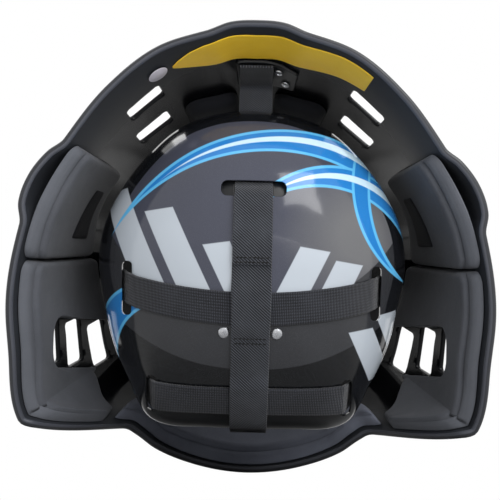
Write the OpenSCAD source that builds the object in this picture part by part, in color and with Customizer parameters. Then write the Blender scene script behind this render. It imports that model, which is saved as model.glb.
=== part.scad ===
// Floorball goalkeeper's helmet: a moulded face shell with a wire cage, foam
// lining, and a sprung back plate that hangs on a webbing and elastic harness.
// All sizes are in millimetres. The pieces are modelled as worn, with X to the
// wearer's right, Y forward and Z up from the eye line, and the whole helmet is
// then tipped back to stand on its chin and jaw corners.

/* [Shell] */
// Width of the shell over the cheeks
shell_w = 260; // [245:1:280]
// Height of the crown rim above the eye line
crown_h = 125.3; // [118:0.1:135]
// Depth of the chin rim below the eye line
chin_drop = 148; // [140:1:156]
// Thickness of the moulded wall
wall = 3.2; // [2.4:0.1:4.5]
// How far the bead along the rear rim stands proud
rim_bead = 0.9; // [0.4:0.1:1.5]
// How far the crown rim lies in front of the ear rim
crown_rim_y = 12; // [6:1:18]
// How far the chin rim lies in front of the ear rim
chin_rim_y = 120; // [110:1:128]
// How far the brow of the face opening lies in front of the ear rim
brow_y = 168; // [160:1:180]
// Radius of the face opening's edge seen from above
face_curve_r = 112; // [104:1:130]
// How much the face opening leans out per millimetre downwards
face_lean = 0.11; // [0.06:0.01:0.16]

/* [Vents] */
// Width of a crown slot along the shell
crown_slot_w = 24; // [16:0.5:26]
// Height of a crown slot
crown_slot_h = 15; // [10:0.5:16]
// Height of a cheek slot
cheek_slot_h = 27; // [20:0.5:30]
// Width of a cheek slot
cheek_slot_w = 18; // [12:0.5:19]
// Corner radius of the slots
slot_corner_r = 3.5; // [1.5:0.5:4]

/* [Foam lining] */
// Thickness of the temple and jaw pads
side_pad_t = 8.5; // [6:0.5:11]
// Thickness of the forehead pads
brow_pad_t = 9; // [6:0.5:11]
// Thickness of the chin pad
chin_pad_t = 10; // [6:0.5:12]
// Thickness of the pads inside the back plate
plate_pad_t = 7; // [4:0.5:9]
// Gap between a pad and what it sits on
pad_gap = 0.3; // [0.2:0.05:0.6]
// Height of the cheek window in the jaw pads
window_h = 30; // [26:0.5:36]
// How far the cheek window starts in front of the ear rim
window_y = 33; // [26:1:40]

/* [Back plate] */
// Thickness of the back plate
plate_t = 3; // [2.4:0.1:4]
// Width of the back plate
plate_w = 178; // [166:1:184]
// Height of the back plate's crown above its centre
plate_rise = 91; // [84:1:94]
// Depth of the back plate's lower edge below its centre
plate_fall = 90; // [84:1:94]
// Height of the back plate's centre above the eye line
plate_z = -8; // [-12:1:-4]
// How far the rearmost point of the plate lies behind the ear rim
plate_back = 20; // [14:1:26]
// How far the plate's top edge lies in front of the ear rim
plate_front = 60; // [54:1:64]

/* [Harness] */
// Width of the webbing over the crown and down the spine
webbing_w = 20; // [16:1:24]
// Thickness of the webbing
webbing_t = 1.6; // [1:0.1:2]
// Width of the ribbed elastic
elastic_w = 17; // [14:1:19]
// Thickness of the elastic
elastic_t = 1.5; // [1:0.1:1.8]
// Clearance between straps, plate and slots
strap_gap = 0.3; // [0.2:0.05:0.5]
// Height of the upper elastic below the eye line
upper_elastic_drop = 30; // [26:1:34]
// Height of the lower elastic below the eye line
lower_elastic_drop = 79; // [77:1:82]
// Height of the crown webbing's slot above the eye line
crown_slot_z = 32; // [29:1:35]
// Length of the spine webbing's free tail below the plate
spine_tail = 10; // [6:0.5:11]

/* [Face cage] */
// Diameter of the cage wire
wire_d = 4; // [3:0.1:5]
// How far the cage bulges in front of the opening's edge
cage_bulge = 29; // [22:1:36]
// Number of crosswise bars
cross_bars = 5; // [3:1:7]
// Number of upright bars
upright_bars = 4; // [2:1:6]

/* [Fixings] */
// Diameter of the screws
screw_d = 5; // [4:0.5:6]
// Diameter of the screw heads
head_d = 9; // [8:0.5:11]
// Height of the screw heads
head_h = 2.6; // [2:0.1:3.5]
// Diameter of the flanged nuts
nut_d = 11; // [9:0.5:13]
// Diametral clearance of a screw in its hole
screw_clear = 0.4; // [0.2:0.1:0.8]
// Thickness of the cage clips
clip_t = 1.6; // [1.2:0.1:2.2]
// Width of the cage clips
clip_w = 12; // [10:0.5:14]

/* [Hidden] */

// Rear rim of the right half, from the chin up to the crown. Each point is
// [share of half the width, share of the crown height or chin depth,
//  share of crown_rim_y, share of chin_rim_y].
RIM = [
    [0, -1, 0, 1],
    [0.283, -0.951, 0, 0.933],
    [0.454, -0.872, 0, 0.833],
    [0.538, -0.797, 0, 0.733],
    [0.598, -0.761, 0, 0.667],
    [0.892, -0.672, 0, 0.1],
    [0.955, -0.642, 0, 0.067],
    [0.988, -0.401, 0.17, 0],
    [1, -0.25, 0, 0],
    [0.953, 0.085, 0, 0],
    [0.959, 0.182, 0, 0],
    [0.925, 0.297, 0.17, 0],
    [0.856, 0.397, 0.33, 0],
    [0.789, 0.457, 0.5, 0],
    [0.623, 0.693, 0.75, 0],
    [0.418, 0.873, 0.92, 0],
    [0.215, 0.950, 1, 0],
    [0.112, 0.991, 1, 0],
    [0, 1, 1, 0]];
// The lining passes straight under the ear bulge, so it skips these points.
EAR_POINTS = [10, 11, 12];

// Shape of the wall between rim and face opening, by angle about the Y axis
OPENING_R = [[-90, 80], [-70, 83], [-55, 87], [-40, 81], [-20, 82], [0, 87], [15, 91.5],
             [30, 87], [40, 75], [60, 58], [90, 52]];
RIM_DRAFT = [[-90, 4], [-50, 6], [0, 7], [40, 10], [90, 15]];
BROW_ROUND = [[-90, -12], [-60, 20], [-40, 35], [0, 38], [45, 34], [90, 28]];
brow_height = 52;
rim_ease = 0.33;
opening_ease = 0.61;

// Outline of the back plate about its centre, by angle: share of the plate's
// half width, rise or fall, and the share of plate_front that its edge reaches
PLATE_R = [[-90, 1], [-75, 1.035], [-58, 1.13], [-45, 1.055], [-30, 1.01], [-15, 0.98],
           [0, 1], [15, 1], [30, 0.985], [45, 0.985], [60, 1.005], [75, 1.005], [90, 1]];
PLATE_EDGE = [[-90, 0.28], [-58, 0.31], [-30, 0.55], [0, 0.76], [30, 0.86], [60, 0.93],
              [90, 1]];
plate_wrap = 85;

// Side elastic slots in the plate: place, height of the slot
upper_slot_x = 67;
upper_slot_h = 29;
lower_slot_x = 52;
lower_slot_h = 20;
slot_w = 6;
crown_slot_len = 34;
crown_slot_height = 8;

// Where the harness and the cage are fixed to the shell: angle, share of depth
UPPER_ANCHOR = [-7, 0.82];
LOWER_ANCHOR = [-44, 0.72];
BROW_CLIP = 67;
CHEEK_CLIP = -38;
wire_share = 0.945;
clip_reach = 14;

// The floor is set this far above the lowest point, which cuts three flats
foot_flat = 0.4;

// Geometry helpers

function unit(p) = p / norm(p);
function lerp(a, b, t) = a + (b - a) * t;
function last(list) = list[len(list) - 1];

// Cubic curve through a table of [angle, value] pairs, mirrored past its ends
function mirrored(tab) = concat(
    [for (k = [3:-1:1]) [-180 - tab[k][0], tab[k][1]]],
    tab,
    [for (k = [2:4]) [180 - tab[len(tab) - k][0], tab[len(tab) - k][1]]]);
function cubic(t, k, a) =
    let (h = t[k + 1][0] - t[k][0],
         s = (a - t[k][0]) / h,
         m1 = (t[k + 1][1] - t[k - 1][1]) / (t[k + 1][0] - t[k - 1][0]),
         m2 = (t[k + 2][1] - t[k][1]) / (t[k + 2][0] - t[k][0]))
    (1 + 2 * s) * pow(1 - s, 2) * t[k][1] + s * pow(1 - s, 2) * h * m1
    + s * s * (3 - 2 * s) * t[k + 1][1] + s * s * (s - 1) * h * m2;
function spline(t, a) =
    cubic(t, max(1, min(len(t) - 3, len([for (p = t) if (p[0] <= a) 1]) - 1)), a);

// A closed skin of triangles over rings of points: joined end to end, or
// capped. It is turned where the rings run the other way round.
module skin(rings, joined = false, turned = false) {
    n = len(rings[0]);
    m = len(rings);
    steps = joined ? m : m - 1;
    sides = [for (i = [0:steps - 1], j = [0:n - 1])
        let (a = i * n, b = ((i + 1) % m) * n, k = (j + 1) % n)
        each [[a + j, b + j, b + k], [a + j, b + k, a + k]]];
    cap = [for (i = [0:n - 3]) let (h = floor(i / 2))
        i % 2 == 0 ? [h, h + 1, n - 1 - h] : [h + 1, n - 2 - h, n - 1 - h]];
    caps = joined ? [] : concat(cap, [for (t = cap) [t[2], t[1], t[0]] + (m - 1) * n * [1, 1, 1]]);
    faces = concat(sides, caps);
    polyhedron([for (r = rings) each r],
               turned ? [for (t = faces) [t[2], t[1], t[0]]] : faces, convexity = 8);
}

// A tube of six sides along a route
function tube_rings(route, r) = [for (i = [0:len(route) - 1])
    let (t = unit(route[min(i + 1, len(route) - 1)] - route[max(i - 1, 0)]),
         side = unit(cross(t, abs(t[1]) > 0.9 ? [0, 0, 1] : [0, 1, 0])),
         up = cross(t, side))
    [for (k = [0:5]) route[i] + r * (cos(60 * k) * side + sin(60 * k) * up)]];

// An outline of a slot with rounded corners, as [width, height]
function rounded(w, h, r) = [for (c = [[1, 1, 0], [-1, 1, 90], [-1, -1, 180], [1, -1, 270]],
                                  q = [0:22.5:90])
    [c[0] * (w / 2 - r) + r * cos(c[2] + q), c[1] * (h / 2 - r) + r * sin(c[2] + q)]];

// Shell surface

function rim_point(p) = [p[0] * shell_w / 2, p[1] * (p[1] > 0 ? crown_h : chin_drop),
                         p[2] * crown_rim_y + p[3] * chin_rim_y];
function polar_table(points, depth) = mirrored([for (p = points)
    [p[0] == 0 ? sign(p[1]) * 90 : atan2(p[1], p[0]), depth ? p[2] : norm([p[0], p[1]])]]);
rim_all = [for (p = RIM) rim_point(p)];
rim_lined = [for (k = [0:len(RIM) - 1]) if (len(search(k, EAR_POINTS)) == 0) rim_all[k]];
rim_r = polar_table(rim_all, false);
rim_y = polar_table(rim_all, true);
lined_r = polar_table(rim_lined, false);
lined_y = polar_table(rim_lined, true);
opening_r = mirrored([for (p = OPENING_R) [p[0], p[1] * shell_w / 260]]);
draft_tab = mirrored(RIM_DRAFT);
round_tab = mirrored(BROW_ROUND);

function opening_y(a, r) = brow_y - pow(r * cos(a), 2) / (2 * face_curve_r)
                           - (r * sin(a) - brow_height) * face_lean;
// The wall's section at an angle: four control points as [radius, depth]
function meridian(a, lined) =
    let (r0 = spline(lined ? lined_r : rim_r, a),
         y0 = spline(lined ? lined_y : rim_y, a),
         r3 = spline(opening_r, a),
         y3 = opening_y(a, r3))
    [[r0, y0], [r0 - spline(draft_tab, a), y0 + rim_ease * (y3 - y0)],
     [lerp(r3, r0, opening_ease), y3 - spline(round_tab, a)], [r3, y3]];
function bezier(c, v) = pow(1 - v, 3) * c[0] + 3 * v * pow(1 - v, 2) * c[1]
                        + 3 * v * v * (1 - v) * c[2] + v * v * v * c[3];
function in_space(a, p) = [p[0] * cos(a), p[1], p[0] * sin(a)];
function right_side(a) = a > 90 ? 180 - a : a < -90 ? -180 - a : a;
function flip(a, p) = abs(a) > 90 ? [-p[0], p[1], p[2]] : p;
// A column of the wall at angle a: a point for each [share of depth, offset]
// pair. A positive offset is outwards. It is worked out on the right half.
function wall_column(a, pairs, lined = false) =
    let (b = right_side(a), e = 0.25, f = 0.004,
         c = meridian(b, lined), c1 = meridian(b - e, lined), c2 = meridian(b + e, lined))
    [for (q = pairs)
        let (p = in_space(b, bezier(c, q[0])),
             along = in_space(b + e, bezier(c2, q[0])) - in_space(b - e, bezier(c1, q[0])),
             deeper = in_space(b, bezier(c, min(1, q[0] + f)))
                      - in_space(b, bezier(c, max(0, q[0] - f))))
        flip(a, p + q[1] * unit(cross(deeper, along)))];
function on_shell(a, v, d, lined = false) = wall_column(a, [[v, d]], lined)[0];

// A frame for pieces that are fixed on: place, then X, Y and Z directions
module in_frame(f) {
    multmatrix([for (k = [0:2]) [f[1][k], f[2][k], f[3][k], f[0][k]]]) children();
}
function local(f, q) = [for (k = [1:3]) (q - f[0]) * f[k]];
// A frame on the wall: X around, Y forwards, Z outwards
function wall_frame(a, v) =
    let (p = on_shell(a, v, 0), z = on_shell(a, v, 1) - p,
         y0 = on_shell(a, v + 0.01, 0) - p, y = unit(y0 - (y0 * z) * z))
    [p, cross(y, z), y, z];
module on_wall(a, v) {
    in_frame(wall_frame(a, v)) children();
}

// Back plate surface

plate_r = mirrored(PLATE_R);
plate_edge = mirrored(PLATE_EDGE);
function plate_radius(a) =
    let (b = right_side(a), h = sin(b) > 0 ? plate_rise : plate_fall, w = plate_w / 2)
    spline(plate_r, b) * w * h / norm([h * cos(b), w * sin(b)]);
function plate_bare(a, f) =
    let (q = f * plate_wrap, top = spline(plate_edge, right_side(a)) * plate_front)
    [plate_radius(a) * sin(q) / sin(plate_wrap) * cos(a),
     -plate_back + (top + plate_back) * (1 - cos(q)) / (1 - cos(plate_wrap)),
     plate_z + plate_radius(a) * sin(q) / sin(plate_wrap) * sin(a)];
function plate_point(a, f, d) =
    let (e = 0.5, g = 0.004, p = plate_bare(a, f))
    p + d * unit(cross(plate_bare(a, f + g) - plate_bare(a, f - g),
                       plate_bare(a + e, f) - plate_bare(a - e, f)));
// The plate's surface at a given place across and up
function on_plate(x, z, d) =
    let (a0 = atan2(z - plate_z, x), a = a0 < -90 ? a0 + 360 : a0,
         r = norm([x, z - plate_z]),
         s = min(0.9999, r * sin(plate_wrap) / plate_radius(a)))
    plate_point(a, asin(s) / plate_wrap, d);
function plate_slope(x, z) = unit(on_plate(x, z + 1, 0) - on_plate(x, z - 1, 0));

// Cage surface

// The frame wire lies on the wall, and the bars rise over the opening's edge
function wire_seat(a) = on_shell(a, wire_share, wire_d / 2 + pad_gap);
function wire_lip(a) =
    let (p = on_shell(a, 1, 0), out = on_shell(a, 1, 1) - p,
         deeper = unit(p - on_shell(a, 0.98, 0)))
    p + (wire_d / 2 + 2 * pad_gap) * unit(out + deeper);
// The angle on the right half at which the lip reaches a height
function lip_angle(z, low = -89, high = 89, n = 12) =
    n == 0 ? (low + high) / 2
    : let (mid = (low + high) / 2)
      wire_lip(mid)[2] < z ? lip_angle(z, mid, high, n - 1)
                           : lip_angle(z, low, mid, n - 1);
// The angle at which the lip is as far out as x, between two angles
function lip_angle_at(x, wide, narrow, n = 12) =
    n == 0 ? (wide + narrow) / 2
    : let (mid = (wide + narrow) / 2)
      wire_lip(mid)[0] > x ? lip_angle_at(x, mid, narrow, n - 1)
                           : lip_angle_at(x, wide, mid, n - 1);
cage_top = wire_lip(90)[2];
cage_low = wire_lip(-90)[2];
function cage_y(x, z) =
    let (e = wire_lip(lip_angle(z)), m = (cage_top + cage_low) / 2,
         h = (cage_top - cage_low) / 2 + wire_d,
         swell = cage_bulge * pow(max(0, 1 - pow((z - m) / h, 2)), 0.6))
    e[1] + swell * max(0, 1 - pow(x / e[0], 2));

// Standing on the floor

// Outer points of the rim where the helmet may touch the floor
jaw_points = [for (a = [-52:1:-36]) on_shell(a, 0, rim_bead)];
chin_points = [for (a = [-90:2.5:-70], v = [0, 0.03, 0.06]) on_shell(a, v, rim_bead)];
function lowest(points, tip) = min([for (p = points) p[1] * sin(tip) + p[2] * cos(tip)]);
function even_tip(low = 5, high = 45, n = 16) =
    n == 0 ? (low + high) / 2
    : let (mid = (low + high) / 2)
      lowest(chin_points, mid) < lowest(jaw_points, mid)
          ? even_tip(mid, high, n - 1) : even_tip(low, mid, n - 1);
rest_tip = even_tip();
floor_z = lowest(concat(jaw_points, chin_points), rest_tip) + foot_flat;
function tipped_y(p) = p[1] * cos(rest_tip) - p[2] * sin(rest_tip);

// Shell

function crown_slots() = [for (s = [0, 180]) each [[abs(s - 52.5), 0.268], [abs(s - 50), 0.475]]];
function cheek_slots() = [for (s = [-1, 1]) each [
    [s > 0 ? -31.5 : 211.5, 0.625], [s > 0 ? -28 : 208, 0.475], [s > 0 ? -25.5 : 205.5, 0.32]]];
function clip_places() = [for (s = [BROW_CLIP, 180 - BROW_CLIP, CHEEK_CLIP, 180 - CHEEK_CLIP]) s];
function anchor_places() = [for (p = [UPPER_ANCHOR, LOWER_ANCHOR]) each [p, [180 - p[0], p[1]]]];
// Share of depth at which a clip's screw sits behind the cage wire
function clip_share(a, v = wire_share, n = 12) =
    n == 0 || norm(on_shell(a, v, 0) - on_shell(a, wire_share, 0)) > clip_reach
        ? v : clip_share(a, v - 0.012, n - 1);

shell_angles = [each [-90:5:-60], each [-57.5:2.5:-33], each [-30:5:0], each [4:3:32],
                each [35:6:84]];
shell_ring = concat(shell_angles, [90], [for (k = [len(shell_angles) - 1:-1:1])
                                         180 - shell_angles[k]]);
shell_depths = [0.07, 0.17, 0.3, 0.44, 0.58, 0.72, 0.86, 1];
shell_section = concat([[0, rim_bead], [0.012, rim_bead], [0.028, 0]],
                       [for (v = shell_depths) [v, 0]],
                       [for (k = [len(shell_depths) - 1:-1:0]) [shell_depths[k], -wall]],
                       [[0, -wall]]);

shell_rings = [for (a = shell_ring) wall_column(a, shell_section)];

module slot_cut(place, w, h) {
    on_wall(place[0], place[1]) translate([0, 0, -4 * wall])
        linear_extrude(8 * wall) polygon(rounded(w, h, slot_corner_r));
}

module wall_hole(a, v, d) {
    on_wall(a, v) translate([0, 0, -3 * wall]) cylinder(h = 6 * wall, d = d, $fn = 32);
}

module mask_shell() {
    color([0.09, 0.10, 0.12]) difference() {
        skin(shell_rings, joined = true);
        for (p = crown_slots()) slot_cut(p, crown_slot_w, crown_slot_h);
        for (p = cheek_slots()) slot_cut(p, cheek_slot_h, cheek_slot_w);
        for (a = clip_places()) wall_hole(a, clip_share(a), screw_d + screw_clear);
        for (p = anchor_places()) wall_hole(p[0], p[1], screw_d + screw_clear);
        for (p = crown_screw_places()) wall_hole(p[0], p[1], crown_screw_d + screw_clear);
        below_floor();
    }
}

// Everything under the floor, in the worn position
module below_floor() {
    rotate([-rest_tip, 0, 0]) translate([-shell_w, -shell_w, floor_z - shell_w])
        cube([2 * shell_w, 3 * shell_w, shell_w]);
}

// Face cage

frame_steps = 48;
frame_route = [for (k = [0:frame_steps - 1]) wire_seat(-90 + 360 / frame_steps * k)];
function frame_rings() = [for (k = [0:frame_steps - 1])
    let (t = unit(frame_route[(k + 1) % frame_steps]
                  - frame_route[(k + frame_steps - 1) % frame_steps]),
         side = unit(cross(t, [0, 1, 0])), up = cross(t, side))
    [for (j = [0:5]) frame_route[k] + wire_d / 2 * (cos(60 * j) * side + sin(60 * j) * up)]];
// Crosswise bars, and upright bars that run just inside them
function cross_routes() = [for (k = [1:cross_bars])
    let (z = lerp(cage_low, cage_top, (k + 0.25) / (cross_bars + 1.2)),
         a = lip_angle(z), e = wire_lip(a)[0])
    concat([wire_seat(180 - a)], [for (s = [-1:0.2:1]) [s * e, cage_y(s * e, z), z]],
           [wire_seat(a)])];
function upright_routes() = [for (k = [1:upright_bars])
    let (x = lerp(-0.62, 0.62, (k - 0.5) / upright_bars) * wire_lip(0)[0],
         up = lip_angle_at(abs(x), 0, 89), down = lip_angle_at(abs(x), 0, -89),
         top = wire_lip(up)[2], low = wire_lip(down)[2])
    concat([wire_seat(x < 0 ? 180 - down : down)],
           [for (s = [0:0.1:1]) let (z = lerp(low, top, s))
               [x, cage_y(abs(x), z) - 0.8 * wire_d * sin(180 * s), z]],
           [wire_seat(x < 0 ? 180 - up : up)])];
function cage_rings() = concat(frame_rings(), [for (r = concat(cross_routes(), upright_routes()))
    each tube_rings(r, wire_d / 2)]);

module face_cage() {
    color([0.13, 0.13, 0.14]) union() {
        skin(frame_rings(), joined = true);
        for (r = concat(cross_routes(), upright_routes())) skin(tube_rings(r, wire_d / 2));
    }
}
// The middle of the helmet's length stands over the origin
reach = [for (r = concat(shell_rings, cage_rings()), p = r) tipped_y(p)];
rest_shift = -(min(reach) + max(reach)) / 2;
module stand() {
    translate([0, rest_shift, -floor_z]) rotate([rest_tip, 0, 0]) children();
}
function standing(p) = [p[0], tipped_y(p) + rest_shift,
                        p[1] * sin(rest_tip) + p[2] * cos(rest_tip) - floor_z];

// A clip: a flat tongue that turns over the wire, square to it
function clip_frame(a) =
    let (f = wall_frame(a, clip_share(a)), t = wire_seat(a - 3) - wire_seat(a + 3),
         x = unit(t - (t * f[3]) * f[3]))
    [f[0], x, cross(f[3], x), f[3]];
module cage_clips() {
    for (a = clip_places()) {
        w = local(clip_frame(a), wire_seat(a));
        r = wire_d / 2 + pad_gap + 1.25 * flat_relief;
        top = pad_gap + clip_t;
        profile = concat(
            [[-head_d * 0.7, pad_gap], [-head_d * 0.7, top], [w[1] - r - clip_t - 1, top]],
            [for (q = [160:-20:-20]) [w[1] + (r + clip_t) * cos(q), w[2] + (r + clip_t) * sin(q)]],
            [for (q = [-20:20:160]) [w[1] + r * cos(q), w[2] + r * sin(q)]],
            [[w[1] - r - 1, pad_gap]]);
        color([0.55, 0.56, 0.58]) in_frame(clip_frame(a)) difference() {
            rotate([90, 0, 90]) translate([0, 0, -clip_w / 2])
                linear_extrude(clip_w) polygon(profile);
            translate([0, 0, -1]) cylinder(h = 3 * clip_t, d = screw_d + screw_clear, $fn = 32);
        }
    }
}

// A screw through the wall, with a low domed head outside
module wall_screw(head_at, d, length, head, rise = head_h) {
    rotate_extrude($fn = 24) polygon(concat(
        [[0, head_at - length], [d / 2, head_at - length], [d / 2, head_at]],
        [for (q = [0:30:90]) [d / 4 + (head / 2 - d / 4) * cos(q),
                              head_at + rise * (0.3 + 0.7 * sin(q))]],
        [[0, head_at + rise]]));
}

module cage_screws() {
    color([0.72, 0.73, 0.75]) for (a = clip_places())
        on_wall(a, clip_share(a))
            wall_screw(pad_gap + clip_t, screw_d, clip_t + wall + 6, head_d);
}

// A flat piece stands this much off the curved wall beside the usual gap
flat_relief = 0.4;
// A flanged nut on the inner face of the wall
module wall_nut(d) {
    flange = 1.2;
    nut_h = 4;
    translate([0, 0, -wall - pad_gap - 2 * flat_relief - nut_h]) difference() {
        union() {
            translate([0, 0, nut_h - flange]) cylinder(h = flange, d = d, $fn = 24);
            cylinder(h = nut_h - 1, d = d * 0.8, $fn = 6);
        }
        translate([0, 0, -1]) cylinder(h = nut_h + 2, d = screw_d + 0.02, $fn = 24);
    }
}

module cage_nuts() {
    color([0.66, 0.67, 0.70]) for (a = clip_places()) on_wall(a, clip_share(a)) wall_nut(nut_d);
}

// Foam lining

// A crowned pad on the shell's inner face. Stations are
// [angle, share of depth at the rear edge, share of depth at the front edge].
pad_steps = 12;
function station(tab, a) =
    let (k = min(len(tab) - 2, len([for (p = tab) if (p[0] <= a) 1]) - 1),
         s = (a - tab[k][0]) / (tab[k + 1][0] - tab[k][0]))
    [lerp(tab[k][1], tab[k + 1][1], s), lerp(tab[k][2], tab[k + 1][2], s)];
function crown(s) = pow(max(0, 1 - pow(abs(2 * s - 1), 5)), 0.5);
function pad_ring(tab, a, end, t) =
    let (v = station(tab, a), base = -wall - pad_gap - flat_relief,
         full = 0.45 + 0.55 * end)
    wall_column(a, concat(
        [for (s = [0:0.2:1]) [lerp(v[0], v[1], 0.02 + 0.96 * s), base]],
        [for (s = [1, 0.97, 0.85, 0.62, 0.38, 0.15, 0.03, 0])
            [lerp(v[0], v[1], s), base - t * full * (0.35 + 0.65 * crown(s))]]), lined = true);
module pad(tab, t, mirrored_pad) {
    low = tab[0][0];
    top = last(tab)[0];
    shares = [0, 0.03, 0.1, 0.2, 0.3, 0.4, 0.5, 0.6, 0.7, 0.8, 0.9, 0.97, 1];
    mirror([mirrored_pad ? 1 : 0, 0, 0])
        skin([for (s = shares) pad_ring(tab, lerp(low, top, s), crown(s), t)]);
}

FOREHEAD_PAD = [[63, 0.42, 0.8], [83, 0.42, 0.8]];
TEMPLE_PAD = [[-2.5, 0.04, 0.62], [12, 0.03, 0.6], [29.5, 0.04, 0.58]];
JAW_PAD = [[-50.3, 0.05, 0.14], [-47, 0.05, 0.25], [-43, 0.04, 0.39], [-39, 0.04, 0.5],
           [-34, 0.04, 0.55], [-24, 0.05, 0.68], [-4, 0.05, 0.66]];
CHIN_PAD = [[-128, 0.08, 0.34], [-105, 0.05, 0.5], [-75, 0.05, 0.5], [-52, 0.08, 0.34]];

module forehead_pad(left) {
    color([0.16, 0.165, 0.175]) pad(FOREHEAD_PAD, brow_pad_t, left);
}
module temple_pad(left) {
    color([0.27, 0.275, 0.29]) pad(TEMPLE_PAD, side_pad_t, left);
}
// The jaw pad is cut out over the three cheek slots, from window_y to its front
module jaw_pad(left) {
    rear = on_shell(cheek_slots()[5][0], cheek_slots()[5][1], -wall);
    front = on_shell(cheek_slots()[3][0], cheek_slots()[3][1], -wall);
    slope = (front[2] - rear[2]) / (front[1] - rear[1]);
    length = brow_y;
    color([0.27, 0.275, 0.29]) mirror([left ? 1 : 0, 0, 0]) difference() {
        pad(JAW_PAD, side_pad_t, false);
        translate([0, window_y, rear[2] - slope * (rear[1] - window_y)])
            rotate([90, 0, 90]) rotate([0, 0, atan(slope)]) translate([length / 2, 0, 0])
            linear_extrude(shell_w) polygon(rounded(length, window_h, 12));
    }
}
module chin_pad() {
    color([0.15, 0.155, 0.17]) pad(CHIN_PAD, chin_pad_t, false);
}

// Labels

label_t = 0.4;
module thin_patch(tab, gap) {
    skin([for (p = tab) wall_column(p[0], concat(
        [for (s = [0:0.5:1]) [lerp(p[1], p[2], s), -wall - gap]],
        [for (s = [1:-0.5:0]) [lerp(p[1], p[2], s), -wall - gap - label_t]]))]);
}
// A strip with a pointed left end under the crown rim
RIM_LABEL = [[56, 0.045, 0.17], [60, 0.045, 0.18], [66, 0.045, 0.19], [72, 0.05, 0.2],
             [78, 0.055, 0.21], [84, 0.06, 0.215], [90, 0.065, 0.22], [96, 0.06, 0.215],
             [101, 0.055, 0.21], [105, 0.06, 0.2], [109, 0.08, 0.185], [113, 0.115, 0.165],
             [115, 0.138, 0.148]];
module rim_label() {
    color([0.80, 0.64, 0.12]) thin_patch(RIM_LABEL, flat_relief);
}
disc_d = 12;
module size_disc() {
    color([0.76, 0.75, 0.78]) on_wall(119.8, 0.133)
        translate([0, 0, -wall - 2 * flat_relief - label_t]) cylinder(h = label_t, d = disc_d, $fn = 48);
}

// Crown bracket, which clamps the end of the crown webbing

bracket_t = 1.6;
crown_screw_d = 3;
crown_head_d = 5.5;
crown_head_h = 1.4;
function crown_screw_places() = [[82.5, 0.275], [79.5, 0.335]];
BRACKET = [[76.5, 0.25, 0.37], [82, 0.235, 0.38], [88, 0.225, 0.39], [96.5, 0.225, 0.39]];
module crown_bracket() {
    base = -wall - pad_gap - flat_relief / 2;
    color([0.10, 0.10, 0.11]) difference() {
        skin([for (p = BRACKET) wall_column(p[0], concat(
            [for (s = [0:0.5:1]) [lerp(p[1], p[2], s), base]],
            [for (s = [1:-0.5:0]) [lerp(p[1], p[2], s), base - bracket_t]]))]);
        for (p = crown_screw_places()) wall_hole(p[0], p[1], crown_screw_d + screw_clear);
    }
}
module crown_screws() {
    color([0.78, 0.78, 0.80]) for (p = crown_screw_places()) on_wall(p[0], p[1])
        mirror([0, 0, 1]) wall_screw(wall + 2 * pad_gap + flat_relief / 2 + bracket_t, crown_screw_d,
                                     wall + bracket_t + 2, crown_head_d, crown_head_h);
}

// Back plate

// A frame on the back plate: X across, Y upwards, Z out of the plate
module on_back(x, z) {
    p = on_plate(x, z, 0);
    n = on_plate(x, z, 1) - p;
    v = plate_slope(x, z);
    in_frame([p, cross(v, n), v, n]) children();
}

function elastic_z(x, drop, rise, reach) = -drop + rise * pow(x / reach, 2);
upper_rise = 8;
lower_rise = 1;
function upper_z(x) = elastic_z(x, upper_elastic_drop, upper_rise, upper_slot_x);
function lower_z(x) = elastic_z(x, lower_elastic_drop, lower_rise, lower_slot_x);

module plate_slot(x, z, w, h) {
    translate([x, plate_front + plate_back, z]) rotate([90, 0, 0])
        linear_extrude(2 * (plate_front + plate_back)) polygon(rounded(w, h, min(w, h) * 0.4));
}

plate_ring = [for (k = [0:47]) -90 + 7.5 * k];
plate_shares = [1, 0.96, 0.88, 0.76, 0.62, 0.47, 0.31, 0.16, 0.06];
rivet_x = 13.4;
rivet_z = -42.5;
rivet_d = 3;
rivet_head_d = 6;
module back_plate() {
    inner_shares = [for (k = [len(plate_shares) - 1:-1:0]) plate_shares[k]];
    color([0.29, 0.30, 0.35]) difference() {
        skin(concat(
            [for (f = inner_shares) [for (a = plate_ring) plate_point(a, f, 0)]],
            [for (f = plate_shares) [for (a = plate_ring) plate_point(a, f, -plate_t)]]),
            turned = true);
        plate_slot(0, crown_slot_z, crown_slot_len, crown_slot_height);
        for (s = [-1, 1]) {
            plate_slot(s * upper_slot_x, upper_z(upper_slot_x), slot_w, upper_slot_h);
            plate_slot(s * lower_slot_x, lower_z(lower_slot_x), slot_w, lower_slot_h);
            on_back(s * rivet_x, rivet_z) translate([0, 0, -2 * plate_t])
                cylinder(h = 4 * plate_t, d = rivet_d, $fn = 32);
        }
    }
}

module plate_rivets() {
    tail = -plate_t - 2 * flat_relief;
    color([0.78, 0.78, 0.80]) for (s = [-1, 1]) on_back(s * rivet_x, rivet_z)
        rotate_extrude($fn = 24) polygon([
            [0, tail - 0.8], [rivet_head_d * 0.4, tail - 0.8], [rivet_head_d * 0.4, tail],
            [rivet_d / 2 - 0.02, tail], [rivet_d / 2 - 0.02, 0.1], [rivet_head_d / 2, 0.1],
            [rivet_head_d * 0.42, 0.8], [rivet_head_d * 0.2, 1.2], [0, 1.3]]);
}

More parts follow.
